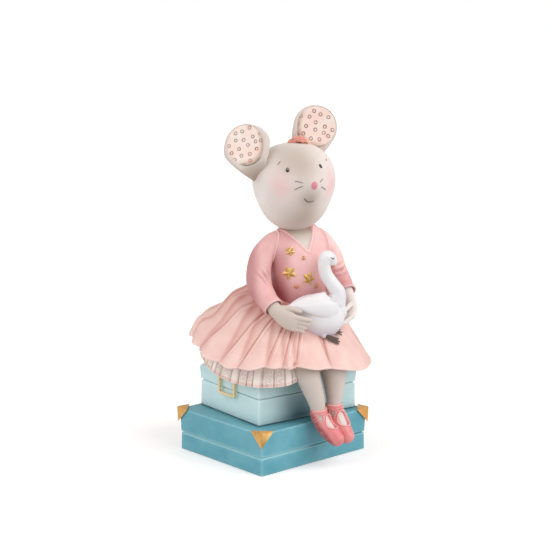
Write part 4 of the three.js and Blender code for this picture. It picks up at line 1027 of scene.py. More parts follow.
# %% Tubes along a line
def tube(line, sides=64, steps=90, caps=(0.9, 0.9), upright=(0, 0, 1), cap_rows=7):
    """Rings along a smooth line through [x, y, z, half width (, half height)]. The ring's side is the tangent
    crossed with upright, and its up is the side crossed with the tangent. The ends close as flattened half
    balls. Returns the rings, the share along the line of each and the angle of each column."""
    line = np.array([[*p, p[3]] if len(p) == 4 else p for p in line], float)
    centres = smooth_line(line[:, :3], steps)
    sizes = smooth_line(line[:, 3:], steps, 0.0)
    tangents = unit(np.gradient(centres, axis=0))
    sides_way = unit(np.cross(tangents, np.array(upright, float)))
    ups_way = np.cross(sides_way, tangents)
    swing = np.radians(np.linspace(0, 88, cap_rows + 1)[1:])
    rows = [(k, 0.0, 1.0) for k in range(steps)]
    share = np.linspace(0, 1, steps)
    if caps[0]:
        rows = [(0, -caps[0] * sizes[0].min() * np.sin(a), np.cos(a)) for a in swing[::-1]] + rows
        share = np.concatenate([np.zeros(cap_rows), share])
    if caps[1]:
        rows += [(steps - 1, caps[1] * sizes[-1].min() * np.sin(a), np.cos(a)) for a in swing]
        share = np.concatenate([share, np.ones(cap_rows)])
    k = np.array([row[0] for row in rows])
    shift, scale = np.array([row[1:] for row in rows]).T[:, :, None]
    centre = centres[k] + tangents[k] * shift
    turns = np.linspace(0, 2 * np.pi, sides, endpoint=False)
    wide = (sizes[k, :1] * scale * np.cos(turns))[..., None] * sides_way[k][:, None]
    high = (sizes[k, 1:] * scale * np.sin(turns))[..., None] * ups_way[k][:, None]
    return centre[:, None] + wide + high, share[:, None], turns[None, :]


def from_mouse(line):
    """A line of [across, along, up, sizes...] in the mouse's frame, as [x, y, z, sizes...]."""
    return [[*in_mouse(*p[:3]), *p[3:]] for p in line]


sleeve_lines = {
    "right": [[-12.4, -0.8, 112.4, 4.4], [-14.8, -0.6, 111.0, 4.9], [-20.0, 0, 105.2, 5.7],
              [-23.0, 1.2, 97.5, 6.1], [-23.7, 4, 90, 6.3], [-22.9, 10, 84.8, 5.6], [-21.2, 15.6, 80.8, 4.9]],
    "left": [[10.4, -0.8, 112.0, 4.6], [12.6, -0.6, 110.2, 5.2], [17.0, 0, 103.6, 5.7], [20.4, 1.8, 95, 5.2],
             [22.0, 5.4, 88.6, 5.0], [22.0, 10.6, 84.4, 4.7]],
}
elbows = {"right": ((-22.0, 7.9, 95.2), (0.85, -0.05, 0.53)), "left": ((20.6, 7.0, 95.6), (-0.35, 0.1, 0.93))}


def sleeve_rings(side):
    """A sleeve with its creases: a few short waves pressed in round one spot inside the elbow, fading with
    exp(-(distance / 3.6)^2), and a cuff that flares by 0.35 mm at the wrist."""
    rings, share, turns = tube(from_mouse(sleeve_lines[side]), 80, 120, (0.9, 0.0))
    normals = outward(rings)
    spot, slant = elbows[side]
    away = rings - in_mouse(*spot)
    patch = np.exp(-((np.linalg.norm(away, axis=-1) / 3.6) ** 2))
    ripple = -np.cos(2 * np.pi * (away @ np.array(slant)) / 2.8)
    push = patch * (0.45 * ripple - 0.2 + 0.35 * ripple**3)
    push = push + 0.25 * unevenness(rings, 15.0, 31 if side == "left" else 32)
    push = push + 0.35 * step_up(share, 0.93, 1.0) - 0.2 * bump_at(share, 0.9, 0.03)
    return rings + normals * push[..., None]


def hollow_end(rings, depth=2.0, thickness=0.8):
    """Adds a cuff: the last ring turns inwards over a rounded lip and runs back inside the sleeve."""
    middle = rings[-1].mean(0)
    along = unit(middle - rings[-3].mean(0))
    spokes = rings[-1] - middle
    size = np.linalg.norm(spokes, axis=-1).mean()
    rows = [(-0.1, 0.25), (-0.35, 0.42), (-0.6, 0.25), (-thickness, 0.0), (-thickness, -depth)]
    extra = [middle + spokes * (1 + out / size) + along * forth for out, forth in rows]
    return np.concatenate([rings, extra])


sleeves = {side: sleeve_rings(side) for side in ("right", "left")}


def sleeve_shade(places):
    """Painted shade on the insides of the arms, the right one's outer side and the left elbow."""
    across, along, z = to_mouse(places)
    outer = 0.5 * step_up(-0.92 * across - 0.4 * along, 18.5, 24.5)
    inner = 0.3 * step_up(-np.abs(across), -19.5, -14.5) * step_up(-z, -110, -102)
    sides = np.where(across > 0, 0.45 * step_up(-z, -100, -90), 0.16)
    return outer + inner + sides + 0.12 * step_up(-z, -92, -82)


# The left sleeve gets a paler copy of the rose paint: a painted highlight on the side of the stronger lamp.
pale_rose = painted("pale_rose_sleeve_paint", "fdcdc9", "8f4247", "ffece8", rough=0.52, waver=1.0,
                    tints=(("shade", "c0595e"),))
for side, paint in (("right", rose), ("left", pale_rose)):
    piece(side + "_puffed_sleeve", *skin(hollow_end(sleeves[side])), paint, "rose_paint", [side + "_sleeve"],
          wash=1.2, edge=1.0, soften=2, shade=sleeve_shade)

# %% [markdown]
# Round each armhole runs a fine raised seam in a lighter pink. It lies where the sleeve comes out of
# the torso: on every line along the sleeve, the first point outside the torso's ellipse is found, and
# a thin cord follows these points.

# %% Armhole seams
def torso_measure(places):
    """(across / half width)^2 + (along / half depth)^2 at each place: 1 on the torso's skin, more outside."""
    across, along, z = to_mouse(places)
    wide, deep, shift = torso_size(np.clip(z, 72, 118.8))
    return (across / wide) ** 2 + ((along - shift) / deep) ** 2 + np.maximum(z - 116.5, 0)


def closed_cord(loop, radius, sides=10):
    """A thin closed tube along a loop of points, its sections across the loop's tangent."""
    tangents = unit(np.roll(loop, -1, 0) - np.roll(loop, 1, 0))
    side = unit(np.cross(tangents, unit(loop - loop.mean(0))))
    up = np.cross(side, tangents)
    turns = np.linspace(0, 2 * np.pi, sides, endpoint=False)[None, :, None]
    return loop[:, None] + radius * (np.cos(turns) * side[:, None] + np.sin(turns) * up[:, None])


def ring_mean(loop, times):
    """A loop of points smoothed: each point moved halfway to the mean of its neighbours, several times."""
    for _ in range(times):
        loop = 0.5 * loop + 0.25 * (np.roll(loop, 1, 0) + np.roll(loop, -1, 0))
    return loop


seams = []
for side in ("right", "left"):
    rings = sleeves[side]
    out = torso_measure(rings) > 1.02
    first = np.argmax(np.cumsum(~out[::-1], 0)[::-1] == 0, axis=0)
    loop = rings[first, np.arange(rings.shape[1])]
    seams.append(skin(closed_cord(ring_mean(loop, 6), 0.5), ends=False))
cord_paint = painted("pale_rose_cord_paint", "f4c6c2", "a8585c", "fff0ec", rough=0.5, waver=0.8)
piece("armhole_seams", *joined(seams), cord_paint, "rose_paint", wash=0.2, edge=0.5, soften=1)

# %% [markdown]
# ## Hands
# A hand is modelled as the sculptor would build it up from clay: a flat palm, four fingers and a thumb,
# pressed together. Each is a tube. Remesh then melts the overlapping tubes into one skin, and a Smooth
# rounds the creases between them, which is how fingers look on a small casting.

# %% Hands
def fused(shells, voxel, smoothing):
    """One skin from overlapping closed shells: Remesh at the voxel size in mm, then Smooth."""
    thing = linked("clay", mesh_of("clay", *joined(shells)))
    remesh = thing.modifiers.new("remesh", "REMESH")
    remesh.mode, remesh.voxel_size = "VOXEL", voxel * MM
    smooth = thing.modifiers.new("smooth", "SMOOTH")
    smooth.factor, smooth.iterations = 0.5, smoothing
    return applied(thing)


def limb(line, sides=28, steps=36, caps=(0.9, 0.9), upright=(0, 0, 1)):
    """A closed tube in the mouse's frame."""
    return skin(tube(from_mouse(line), sides, steps, caps, upright)[0])


fingers = np.arange(4)
right_fingers = [[[-16.0, 26.4, 77.8 - 2.0 * k, 1.35], [-11.6, 29.2 - 0.25 * k, 76.8 - 2.0 * k, 1.25],
                  [-7.6 - 1.1 * k, 30.3 - 0.5 * k, 76.0 - 2.0 * k, 0.95]] for k in fingers]
right_palm = [[-21.6, 14.6, 81.6, 3.5], [-20.4, 19, 78.9, 3.2, 4.0], [-17.6, 24.4, 75.9, 2.4, 4.7],
              [-14.2, 27.2, 74.4, 1.8, 4.3]]
right_thumb = [[-19.2, 20.6, 81, 1.7], [-15.4, 24.8, 81.3, 1.5], [-11.8, 27.4, 80.2, 1.1]]
left_fingers = [[[19.4, 22.4 - 1.935 * k, 74.2, 1.35], [15.4, 23.4 - 1.935 * k, 71.8, 1.25],
                 [11.8 + 0.6 * k, 23.4 - 1.935 * k, 70.8, 0.95]] for k in fingers]
left_palm = [[22.2, 10, 85.2, 3.2], [22.2, 13.8, 80.6, 2.8, 3.4], [20.8, 17.6, 76.2, 2.3, 3.9],
             [18.2, 20.8, 73.4, 1.9, 3.9]]
left_thumb = [[21.2, 17.2, 79.4, 1.5], [18.2, 21.2, 79.4, 1.3], [15.2, 23.8, 78.2, 1.0]]
right_parts = [limb(right_palm)] + [limb(line) for line in right_fingers] + [limb(right_thumb)]
left_parts = [limb(left_palm, upright=(0, 1, 0))] + [limb(line) for line in left_fingers] + [limb(left_thumb)]
# The right paw is darkened all over by painted shade, the left one only faintly.
for side, parts, shade in (("right", right_parts, 0.6), ("left", left_parts, 0.1)):
    dressed(side + "_paw", fused(parts, 0.26, 4), fur, "fur_paint", [side + "_hand"],
            wash=0.7, edge=0.3, soften=3, shade=shade)

# %% [markdown]
# ## Head
# The head is an egg standing on its narrow end, with a muzzle drawn out by a bell curve round the nose.
# Polar rings suit it, because the face marks can then be placed by two angles. The colours are laid as
# attributes too: a grey-brown airbrushed tone and painted shade on the muzzle's underside and the chin, and a
# blush on each cheek.

# %% Head
head_radius, head_half, egg, depth_share = 21.2, 22.4, 0.105, 0.97
muzzle_length, muzzle_spread, chin_stretch, crown_press, jowls = 5.2, 9.0, 0.07, 0.055, 0.06
nose_point = np.array([0.0, -head_radius, 2.0])
head_turn = np.radians(-19)
head_centre = in_mouse(-3.1, 0.0, 140.2)
ear_roots = [in_mouse(-16.0, -1.5, 150.0), in_mouse(3.4, -3.0, 154.0)]


def head_point(angle, polar, lift=0.0):
    """The head's skin at an angle from the face and a polar angle from the top. The flat radius is
    r sin(polar) (1 + egg cos(polar)) and a little more at the jowls, and the crown is pressed flatter. Near
    the nose the skin is pulled forward by 5.2 exp(-away^2), with away in units of 9 mm from the nose."""
    share = 1 + egg * np.cos(polar) + jowls * bump_at(np.cos(polar), -0.8, 0.25)
    flat = (head_radius + lift) * np.sin(polar) * share
    x, y = flat * np.sin(angle), -flat * np.cos(angle) * depth_share
    z = (head_half + lift) * np.cos(polar) * (1 + chin_stretch * step_up(-np.cos(polar), 0.3, 1.0))
    z = z * (1 - crown_press * step_up(np.cos(polar), 0.5, 1.0))
    local = np.stack(np.broadcast_arrays(x, y, z), -1)
    away = np.linalg.norm(local - nose_point, axis=-1) / muzzle_spread
    local[..., 1] -= muzzle_length * np.exp(-(away**2) * (1.15 - 0.15 * np.tanh(local[..., 2] / 1.5)))
    x = local[..., 0] * np.cos(head_turn) - local[..., 1] * np.sin(head_turn)
    y = local[..., 0] * np.sin(head_turn) + local[..., 1] * np.cos(head_turn)
    return np.stack([x, y, local[..., 2]], -1) + head_centre


def face_place(angle_degrees, polar_degrees, lift=0.0):
    """One place on the face by its two angles in degrees."""
    return head_point(np.radians(angle_degrees), np.radians(polar_degrees), lift)


def near(places, spot, size):
    """A soft round patch: exp(-(distance / size)^2)."""
    return np.exp(-((np.linalg.norm(places - spot, axis=-1) / size) ** 2))


def patches(places, *marks):
    """A sum of patches on the face, each as (strength, angle, polar, size) or with a lift at the end."""
    return sum(mark[0] * near(places, face_place(*mark[1:3], *mark[4:]), mark[3]) for mark in marks)


def head_shade(places):
    """Brown airbrushed tone and painted shade on the muzzle and under the chin, and painted shade over
    the brow, beside the ear and at the ears' roots.
    """
    face = patches(places, (0.6, -1, 103, 5.2), (0.72, -12, 143, 11.5, -3), (0.32, 0, 122, 6.5),
                   (0.75, -24, 42, 13.0), (0.38, -6, 68, 8.5))
    return face + 0.35 * sum(near(places, root, 9.0) for root in ear_roots)


polar = np.pi * np.linspace(0.004, 0.996, 190)[:, None]
angle = np.linspace(-np.pi, np.pi, 256, endpoint=False)
plain = head_point(angle, polar)
swell = sum(bump_at(np.linalg.norm(plain - root, axis=-1), 5.5, 4.0) for root in ear_roots) * 0.35
head_rings = head_point(angle, polar, swell - 0.05 + 0.05 * unevenness(plain, 18.0, 41))
print("head rings:", head_rings.shape)
piece("egg_head", *skin(head_rings), fur, "fur_paint", ["head"], wash=0.5, edge=0.2, soften=6,
      shade=head_shade, blush=lambda places: patches(places, (0.6, -41.5, 87.5, 6.3), (0.75, 40, 88, 7.0)))

# %% [markdown]
# The ears are spoons: a round shell with a thick rolled rim that narrows into a stem. The outline is a
# half circle above and half a long ellipse below. The skin runs from the back's middle to the edge,
# over the rim at a set distance, and down into a round bowl.

# %% Ears
ear_radius, bowl_floor = 12.3, 1.5
ear_places = {
    "right": {"at": (-28.0, -1.0, 159.0), "azimuth": -57, "tilt": 20, "root": (-17.9, -8.6, 147.0),
              "size": 1.0, "length": 16.4, "taper": 0.42, "bend": 12.0, "bowl": (9.1, 10.3, 1.4)},
    "left": {"at": (9.9, -3.0, 167.8), "azimuth": -28, "tilt": 8, "root": (3.4, -3.0, 154.0),
             "size": 0.94, "length": 21.5, "taper": 0.18, "bend": 2.0, "bowl": (10.7, 10.7, 0.9)},
}


def ear_axes(place):
    """The ear's place and its three axes as rows: across, towards the tip, out of the bowl."""
    out = direction(np.radians(place["azimuth"]), np.radians(place["tilt"]))
    at, root = in_mouse(*place["at"]), in_mouse(*place["root"])
    across = unit(np.cross(at - root, out))
    return at, np.array([across, np.cross(out, across), out]) * place["size"]


def ear_rings(length, taper, bend, bowl_wide, bowl_long, bowl_shift):
    """Rings from the back's middle to the bowl's middle, in the ear's own frame. The stem below the bowl
    bends back by bend mm, so that it dives into the side of the head."""
    turns = np.linspace(0, 2 * np.pi, 144, endpoint=False)
    up = np.sin(turns)
    y = np.where(up > 0, ear_radius, length) * up
    x = ear_radius * np.cos(turns) * (1 - taper * np.maximum(-y, 0) / length)
    outline = np.stack([x, y], -1)
    stem = step_up(-y, 2.0, 18.0)
    front, back = 2.7 - 1.2 * step_up(-y, 9.5, 18), 2.7 + 1.9 * stem
    rows = []
    for share in np.linspace(0.02, 1, 26):
        z = 0.3 - (0.3 + back) * np.clip(1 - share**3.2, 0, 1) ** (1 / 1.7)
        rows.append(np.column_stack([outline * share, z]))
    bowl = np.stack([bowl_wide * np.cos(turns), bowl_shift + bowl_long * np.sin(turns)], -1)
    gap = np.linalg.norm(bowl - outline, axis=-1)
    for share in 0.5 - 0.5 * np.cos(np.pi * np.linspace(0, 1, 24)[1:]):
        climb = np.clip(share * gap / np.minimum(1.7, 0.55 * gap), 0, 1)
        drop = np.clip((1 - share) * gap / np.minimum(0.8, 0.4 * gap), 0, 1)
        z = 0.3 + (front - 0.3) * np.sin(np.pi / 2 * climb) - 0.4 * (1 - np.sin(np.pi / 2 * drop))
        rows.append(np.column_stack([outline + (bowl - outline) * share, z]))
    centre = np.array([0, bowl_shift])
    for share, z in ((0.985, 1.9), (0.975, 1.6), (0.95, bowl_floor), (0.6, bowl_floor), (0.05, bowl_floor)):
        rows.append(np.column_stack([centre + (bowl - centre) * share, np.full(len(turns), z)]))
    rings = np.array(rows)
    past = np.clip((-rings[..., 1] - 9.6) / (length - 9.6), 0, 1)
    rings[..., 2] -= bend * past**1.5
    return rings


def lining_rings(bowl_wide, bowl_long, bowl_shift):
    """A thin dished disc with a flat back, stretched to the bowl's oval. Its edge lies in the rim."""
    profile = [(0.05, 1.8), (0.99, 1.8), (1.02, 2.05), (1.015, 2.3), (0.97, 2.4), (0.82, 2.28)]
    profile += [(share, 2.05 + 0.36 * share**2) for share in np.linspace(0.74, 0.005, 14)]
    return turned(profile, 96) * [bowl_wide, bowl_long, 1.0] + [0.0, bowl_shift, 0.0]


ears = {}
for side, place in ear_places.items():
    at, axes = ear_axes(place)
    rings = ear_rings(place["length"], place["taper"], place["bend"], *place["bowl"]) @ axes + at
    rings = rings + 0.1 * unevenness(rings, 12.0, 51)[..., None] * unit(axes[2])
    # The ear gets painted shade all over, deepest at the stem where it dives into the head.
    stem_end = at - axes[1] * place["length"] * 0.85 - axes[2] * place["bend"] * 0.6
    piece(side + "_spoon_ear", *skin(rings), fur, "fur_paint", [side + "_ear"], wash=0.12, edge=0.35,
          soften=3, shade=lambda places: 0.45 + 0.6 * near(places, stem_end, 9.0))
    ears[side] = (at, axes, place["bowl"])

# %% [markdown]
# The ears are lined in cream and printed all over with small brown rings. The print is a formula, in
# the disc's own flat coordinates in millimetres: Voronoi cells with little randomness give staggered
# places, and a ring is where the distance to the cell's point is close to a fixed value.

# %% Ear linings with a print of small rings
def printed_lining():
    """Cream paint with brown rings. ring = 1 - |distance - radius| / width, held between 0 and 1."""
    recipe = Recipe("printed_lining_paint")
    flat = recipe.add("ShaderNodeUVMap", uv_map="flat").outputs["UV"]
    cells = recipe.add("ShaderNodeTexVoronoi", {"Vector": flat, "Scale": 1 / 4.1, "Randomness": 0.42},
                       voronoi_dimensions="2D")
    distance = cells.outputs["Distance"]
    wobble = recipe.math("MULTIPLY", recipe.noise(1.2), 0.05)
    off = recipe.math("ABSOLUTE", recipe.math("SUBTRACT", recipe.math("ADD", distance, wobble), 0.205))
    ring = recipe.stretch(off, 0.035, 0.085, 1.0, 0.0)
    patchy = recipe.stretch(recipe.noise(2.0, 2.0), 0.3, 0.65, 0.55, 1.0)
    pink = recipe.mix(recipe.stretch(recipe.noise(8.0), 0.35, 0.65, 0, 1), tone("f2e6dc"), tone("f8d8cd"))
    colour = recipe.mix(recipe.math("MULTIPLY", ring, patchy), pink, tone("8a6254"))
    # Here the wash attribute holds only the rim's painted shadow.
    colour = recipe.mix(recipe.attribute("wash"), colour, tone("b08c76"))
    colour = recipe.mix(recipe.attribute("edge"), colour, tone("fbf1ea"))
    gloss = recipe.stretch(recipe.noise(3.0), 0.3, 0.7, 0.5, 0.65)
    height = recipe.math("ADD", recipe.math("MULTIPLY", ring, 0.8), recipe.noise(0.5))
    return recipe.finish(colour, gloss, height, 0.3, 0.2)


def flat_map(thing, at, axes, shift):
    """A UV map whose two numbers are the place in the disc's own plane, in mm."""
    mesh = thing.data
    corners = np.empty(len(mesh.loops), int)
    mesh.loops.foreach_get("vertex_index", corners)
    local = (points_of(mesh) - at) @ axes[:2].T + shift
    mesh.uv_layers.new(name="flat").data.foreach_set("uv", local[corners].ravel().astype(np.float32))


lining_paint = printed_lining()
for side, (at, axes, bowl) in ears.items():
    def inner_shade(places):
        """A brown painted shadow of the rim on the lining, on the side near the head."""
        local = (places - at) @ axes[:2].T / (axes[0] @ axes[0])
        off_middle = np.linalg.norm((local - [0, bowl[2]]) / bowl[:2], axis=-1)
        sideways = step_up(-local[:, 1] + (local[:, 0] if side == "left" else -local[:, 0]) * -0.8, -2, 9)
        return 0.75 * step_up(off_middle, 0.7, 0.97) * sideways

    lining = piece(side + "_printed_lining", *skin(lining_rings(*bowl) @ axes + at), lining_paint,
                   "lining_paint", [side + "_ear_lining"], wash=0.0, edge=0.3, soften=1, stain=inner_shade)
    flat_map(lining, at, axes, (1.3, 2.1) if side == "left" else (0.4, 0.2))

# %% [markdown]
# ## Face
# Brows, whiskers and the smile are fine brush strokes in dark brown. Each is a very thin tube that
# hugs the head and tapers at both ends, so it stays crisp at any distance. The eyes are shallow domes
# with a white dot, and the nose is a small glossy drop.

# %% Brush strokes, eyes and nose
ink = painted("brown_ink", "54403a", "33241f", "7a6358", rough=0.5, waver=0.3)
black = painted("glossy_black_paint", "17130f", "060505", "3a342f", rough=0.18, waver=0.2, coat=0.6)
white = painted("white_dot_paint", "ffffff", "e8e6e4", "ffffff", rough=0.4, waver=0.2)
pink = painted("glossy_pink_paint", "dd7f92", "a8485c", "f6bcc6", rough=0.25, waver=0.5, coat=0.5)


def stroke(marks, width=0.17, steps=24):
    """A tapered tube through places on the face, given as (angle, polar) in degrees."""
    marks = np.asarray(marks, float)
    path = smooth_line(np.column_stack([marks, np.zeros(len(marks))]), 9)
    places = face_place(path[:, 0], path[:, 1], 0.05)
    taper = 0.35 + 0.65 * np.sin(np.pi * np.linspace(0.04, 0.96, 9)) ** 0.6
    line = np.column_stack([places, width * taper, width * taper * 0.7])
    return skin(tube(line.tolist(), 8, steps, (0.8, 0.8), (0.1, 0.0, 1.0), 3)[0])


marks = [
    [(-47.5, 58.6), (-46.0, 56.2), (-44.6, 53.6)], [(38.5, 55.6), (39.5, 54.2), (40.8, 53.2)],
    [(-14, 81.6), (-18.6, 80.2), (-23.4, 79.4)], [(-14.2, 85.2), (-19, 87.8), (-24, 90.8)],
    [(9, 81.6), (12.2, 79.2), (15.6, 77.4)], [(11, 86.8), (17.4, 89.6), (24.2, 93)],
    [(-10.6, 101.6), (-7, 105.2), (-1.8, 107.4), (5.8, 106.2)],
]
strokes = [stroke(line, 0.27 if len(line) == 4 else 0.2) for line in marks]
piece("brush_strokes", *joined(strokes), ink, "brown_paint", wash=0.1, edge=0.1, soften=1)


def face_axes(angle_degrees, polar_degrees):
    """A place on the face with three axes as rows: across, up and out."""
    place = face_place(angle_degrees, polar_degrees)
    across = unit(face_place(angle_degrees + 1, polar_degrees) - face_place(angle_degrees - 1, polar_degrees))
    down = face_place(angle_degrees, polar_degrees + 1) - face_place(angle_degrees, polar_degrees - 1)
    out = unit(np.cross(down, across))
    out = out if out @ (place - head_centre) > 0 else -out
    return place, np.array([across, np.cross(out, across), out])


def dome(radius, height, columns=40):
    """A shallow dome with a short skirt below it, as rings about the third axis."""
    swing = np.linspace(0.03, np.pi / 2, 14)
    profile = list(zip(radius * np.sin(swing), height * np.cos(swing))) + [(radius * 0.9, -0.5), (0.02, -0.5)]
    return turned(profile, columns)


eye_marks = {"right": (-32.2, 65.4), "left": (18.2, 61.5)}
for side, mark in eye_marks.items():
    place, axes = face_axes(*mark)
    eyeball = dome(1.05, 0.62) @ (axes * np.array([[0.86], [1.12], [1.0]])) + place
    piece(side + "_black_eye", *skin(eyeball), black, "black_paint", [side + "_eye"],
          wash=0.1, edge=0.1, soften=1)
    dot = dome(0.27, 0.14, 16) @ axes + place + 0.25 * axes[0] + 0.3 * axes[1] + 0.5 * axes[2]
    piece(side + "_eye_light", *skin(dot), white, "white_paint", wash=0.0, edge=0.0, soften=1)

nose_direction = np.array([np.sin(head_turn), -np.cos(head_turn), 0.0])
nose_across = np.array([np.cos(head_turn), np.sin(head_turn), 0.0])
nose_base = head_centre + nose_direction * 25.4 + [0, 0, 2.0]


def nose_rings():
    """A drop: a ball squeezed to 1.6 by 2.0 by 1.9 mm, narrower below, with a faint groove down its front."""
    polar = np.pi * np.linspace(0.02, 0.98, 40)[:, None]
    angle = np.linspace(0, 2 * np.pi, 56, endpoint=False)
    x, z = np.sin(polar) * np.cos(angle), np.cos(polar) + 0 * angle
    y = np.sin(polar) * np.sin(angle)
    narrow = 1 + 0.16 * z
    groove = 0.08 * bump_at(x, 0.0, 0.12) * step_up(y, 0.2, 0.9) * step_up(-z, -0.2, 0.5)
    local = np.stack([1.6 * x * narrow, (1.9 - groove * 1.9) * y, 2.0 * z], -1)
    return local @ np.array([nose_across, nose_direction, [0, 0, 1]]) + nose_base


piece("drop_nose", *skin(nose_rings()), pink, "pink_paint", ["nose"], wash=0.8, edge=0.4, soften=1)

# %% [markdown]
# ## Garland
# Between the ears lies a row of tiny roses. On a casting this small a rose is a dome with a spiral
# furrow pressed into it. That is one formula: the height of the dome plus a cosine of radius and angle
# together, so that the crest winds inwards.

# %% Roses and leaves
coral = painted("coral_rose_paint", "e88876", "a8443a", "f9c9b8", rough=0.5, waver=1.0,
                tints=(("pale", "f8cfc2"),))
leaf_green = painted("brown_green_leaf_paint", "8d7a55", "5a4a30", "b5a37a", rough=0.55, waver=0.8)
blooms, garland_span, bloom_radius = 6, 9.4, 2.3


def rose_rings(radius, spin):
    """Dome height 0.75 r (1 - s^2.4), plus 0.13 r cos(2 pi 2.4 s - angle) for the furrow, with five lobes."""
    share = np.linspace(0.02, 1, 30)[:, None]
    angle = np.linspace(0, 2 * np.pi, 60, endpoint=False)
    furrow = np.cos(2 * np.pi * share * 2.4 - angle + spin)
    petals = 1 + 0.07 * np.cos(5 * angle + 1.5 * spin) * share
    height = 0.75 * radius * (1 - share**2.4) + 0.13 * radius * furrow * np.sin(np.pi * share) ** 0.5
    flat = radius * share * petals * (1 + 0.05 * furrow)
    top = np.stack(np.broadcast_arrays(flat * np.cos(angle), flat * np.sin(angle), height), -1)
    foot = top[-1] * [0.85, 0.85, 0] + [0, 0, -0.55 * radius]
    return np.concatenate([top, [top[-1] * [1.0, 1.0, 0] + [0, 0, -0.18 * radius], foot]])


def leaf_rings(length, width):
    """A pointed leaf along x: half width w sin(pi s)^0.8, folded a little along its midrib."""
    share = np.linspace(0.01, 0.99, 18)[:, None]
    angle = np.linspace(0, 2 * np.pi, 16, endpoint=False)
    wide = width * np.sin(np.pi * share) ** 0.8
    y = wide * np.cos(angle)
    z = 0.3 * np.sin(np.pi * share) ** 0.5 * np.sin(angle) + 0.25 * np.abs(y)
    return np.stack(np.broadcast_arrays(length * share, y, z), -1)


garland_axis = in_mouse(1, 0, 0) - in_mouse(0, 0, 0)
garland_front = in_mouse(0, 1, 0) - in_mouse(0, 0, 0)
roses, leaves = [], []
for k in range(blooms):
    share = k / (blooms - 1) - 0.5
    u = -0.4 + garland_span * share
    w = 2.6 + 1.6 * np.cos(np.pi * 1.6 * share) - 0.8
    crown = 139.1 + head_half * np.sqrt(max(0, 1 - np.hypot(u + 3.1, 2.6) ** 2 / head_radius**2)) * 0.995
    lean = np.radians(28 * share + 12 * (-1) ** k)
    axes = np.array([garland_axis * np.cos(lean) - np.array([0, 0, np.sin(lean)]), garland_front,
                     garland_axis * np.sin(lean) + np.array([0, 0, np.cos(lean)])])
    size = bloom_radius * (0.66, 0.86, 1.0, 0.78, 0.92, 0.72)[k]
    centre = in_mouse(u, w, crown + (0.7, 1.3, 1.7, 1.3, 1.2, 0.8)[k])
    roses.append(skin(rose_rings(size, 1.7 * k) @ axes + centre))
    for turn_by in (0.7 + k, 2.6 + k * 1.3, 4.6 + k):
        c, s = np.cos(turn_by), np.sin(turn_by)
        spread = np.array([[c, s, 0], [-s, c, 0], [0, 0, 1]])
        leaves.append(skin(leaf_rings(size * 1.35, 0.62) @ spread @ axes + centre - axes[2] * 0.75))
# Towards the mouse's left the roses get a painted highlight.
piece("garland_roses", *joined(roses), coral, "coral_paint", ["flower_garland"], wash=1.0, edge=0.5, soften=1,
      pale=lambda places: 0.75 * step_up(to_mouse(places)[0], -1.0, 4.5))
piece("garland_leaves", *joined(leaves), leaf_green, "brown_paint", wash=0.4, edge=0.4, soften=1)

# %% [markdown]
# ## Swan
# The swan is one smooth form, so it is built like clay: a body, a neck, a head, two wings that stand
# out a little and a few tail feathers, all overlapping, then melted together. The wing's lower edge
# stays as a soft step after the smoothing, as on the casting.

# %% Swan
# The swan paint's shade tint is a lavender painted shade under the belly and at the breast.
snow = painted("white_swan_paint", "ebe9ea", "a99db4", "f7f6f6", rough=0.42, waver=0.3, coat=0.1,
               tints=(("shade", "cbbfce"),))
swan_body = [[-15.2, 20.2, 81.4, 1.3, 1.0], [-9.5, 20.4, 79.6, 4.8, 5.8], [-2.5, 21, 77.5, 7.8, 10.1],
             [4.0, 21.6, 76, 8.8, 11.9], [9.2, 21.8, 77, 7.2, 9.0], [11.6, 21.8, 78.2, 4.6, 5.8]]
swan_neck = [[10.6, 21.6, 81.5, 4.9], [11.8, 21.2, 86.2, 4.1], [9.4, 20, 91, 3.5], [6.4, 18.8, 96, 3.3],
             [5.3, 18.6, 100.6, 3.2], [5.7, 18.8, 103.8, 3.4]]
swan_head = [[5.9, 18.8, 104.7, 3.4], [7.6, 19.1, 104.6, 3.5], [9.3, 19.4, 103.2, 2.8],
             [10.0, 19.5, 102.0, 2.0]]
wing = np.array([[-12.0, 3.8, 81.8, 0.6, 0.9], [-8.5, 6.2, 81.4, 1.1, 2.2], [-3.5, 8.0, 81.2, 1.5, 3.6],
                 [2.5, 8.9, 80.8, 1.6, 4.3], [7.4, 8.0, 80.6, 1.1, 3.0]])
swan_parts = [limb(swan_body, 72, 90), limb(swan_neck, 40, 70), limb(swan_head, 36, 30)]
for side in (1, -1):
    swan_parts.append(limb(wing * [1, side, 1, 1, 1] + [0, 21, 0, 0, 0], 40, 60))
    for tail, drop in ((-13.8, 0.6), (-12.4, 2.4)):
        feather = [[tail, 20.4 + 1.2 * side, 81.2 - drop, 0.7, 0.5],
                   [tail + 5, 20.6 + 2.6 * side, 80.2 - drop, 1.9, 1.0],
                   [tail + 9.5, 20.8 + 3.6 * side, 79 - drop, 2.2, 1.0]]
        swan_parts.append(limb(feather, 24, 24))
swan_parts.append(limb([[0.6, 24.0, 70.4, 2.6], [1.5, 26.6, 66.6, 1.5]], 24, 16))
swan_parts.append(limb([[6.0, 22.6, 72.0, 2.6], [6.8, 24.4, 69.0, 1.4]], 24, 16))

def swan_shade(places):
    """A lavender painted shade under the belly and at the breast."""
    return 0.75 * step_up(-places[:, 2], -74.5, -66) + 0.3 * near(places, in_mouse(11, 26, 86), 5.0)

swan_mesh = fused(swan_parts, 0.34, 5)
dressed("white_swan", swan_mesh, snow, "white_paint", ["swan_body", "swan_neck"], wash=0.5, edge=0.4,
        soften=3, shade=swan_shade)

# %% [markdown]
# The beak is a short rose drop that points down, the closed eye is one brush stroke, and the webbed
# feet are three thin toes with a web between them. The stroke is first drawn near the head and then
# moved to the nearest point of the swan's skin by a search tree.

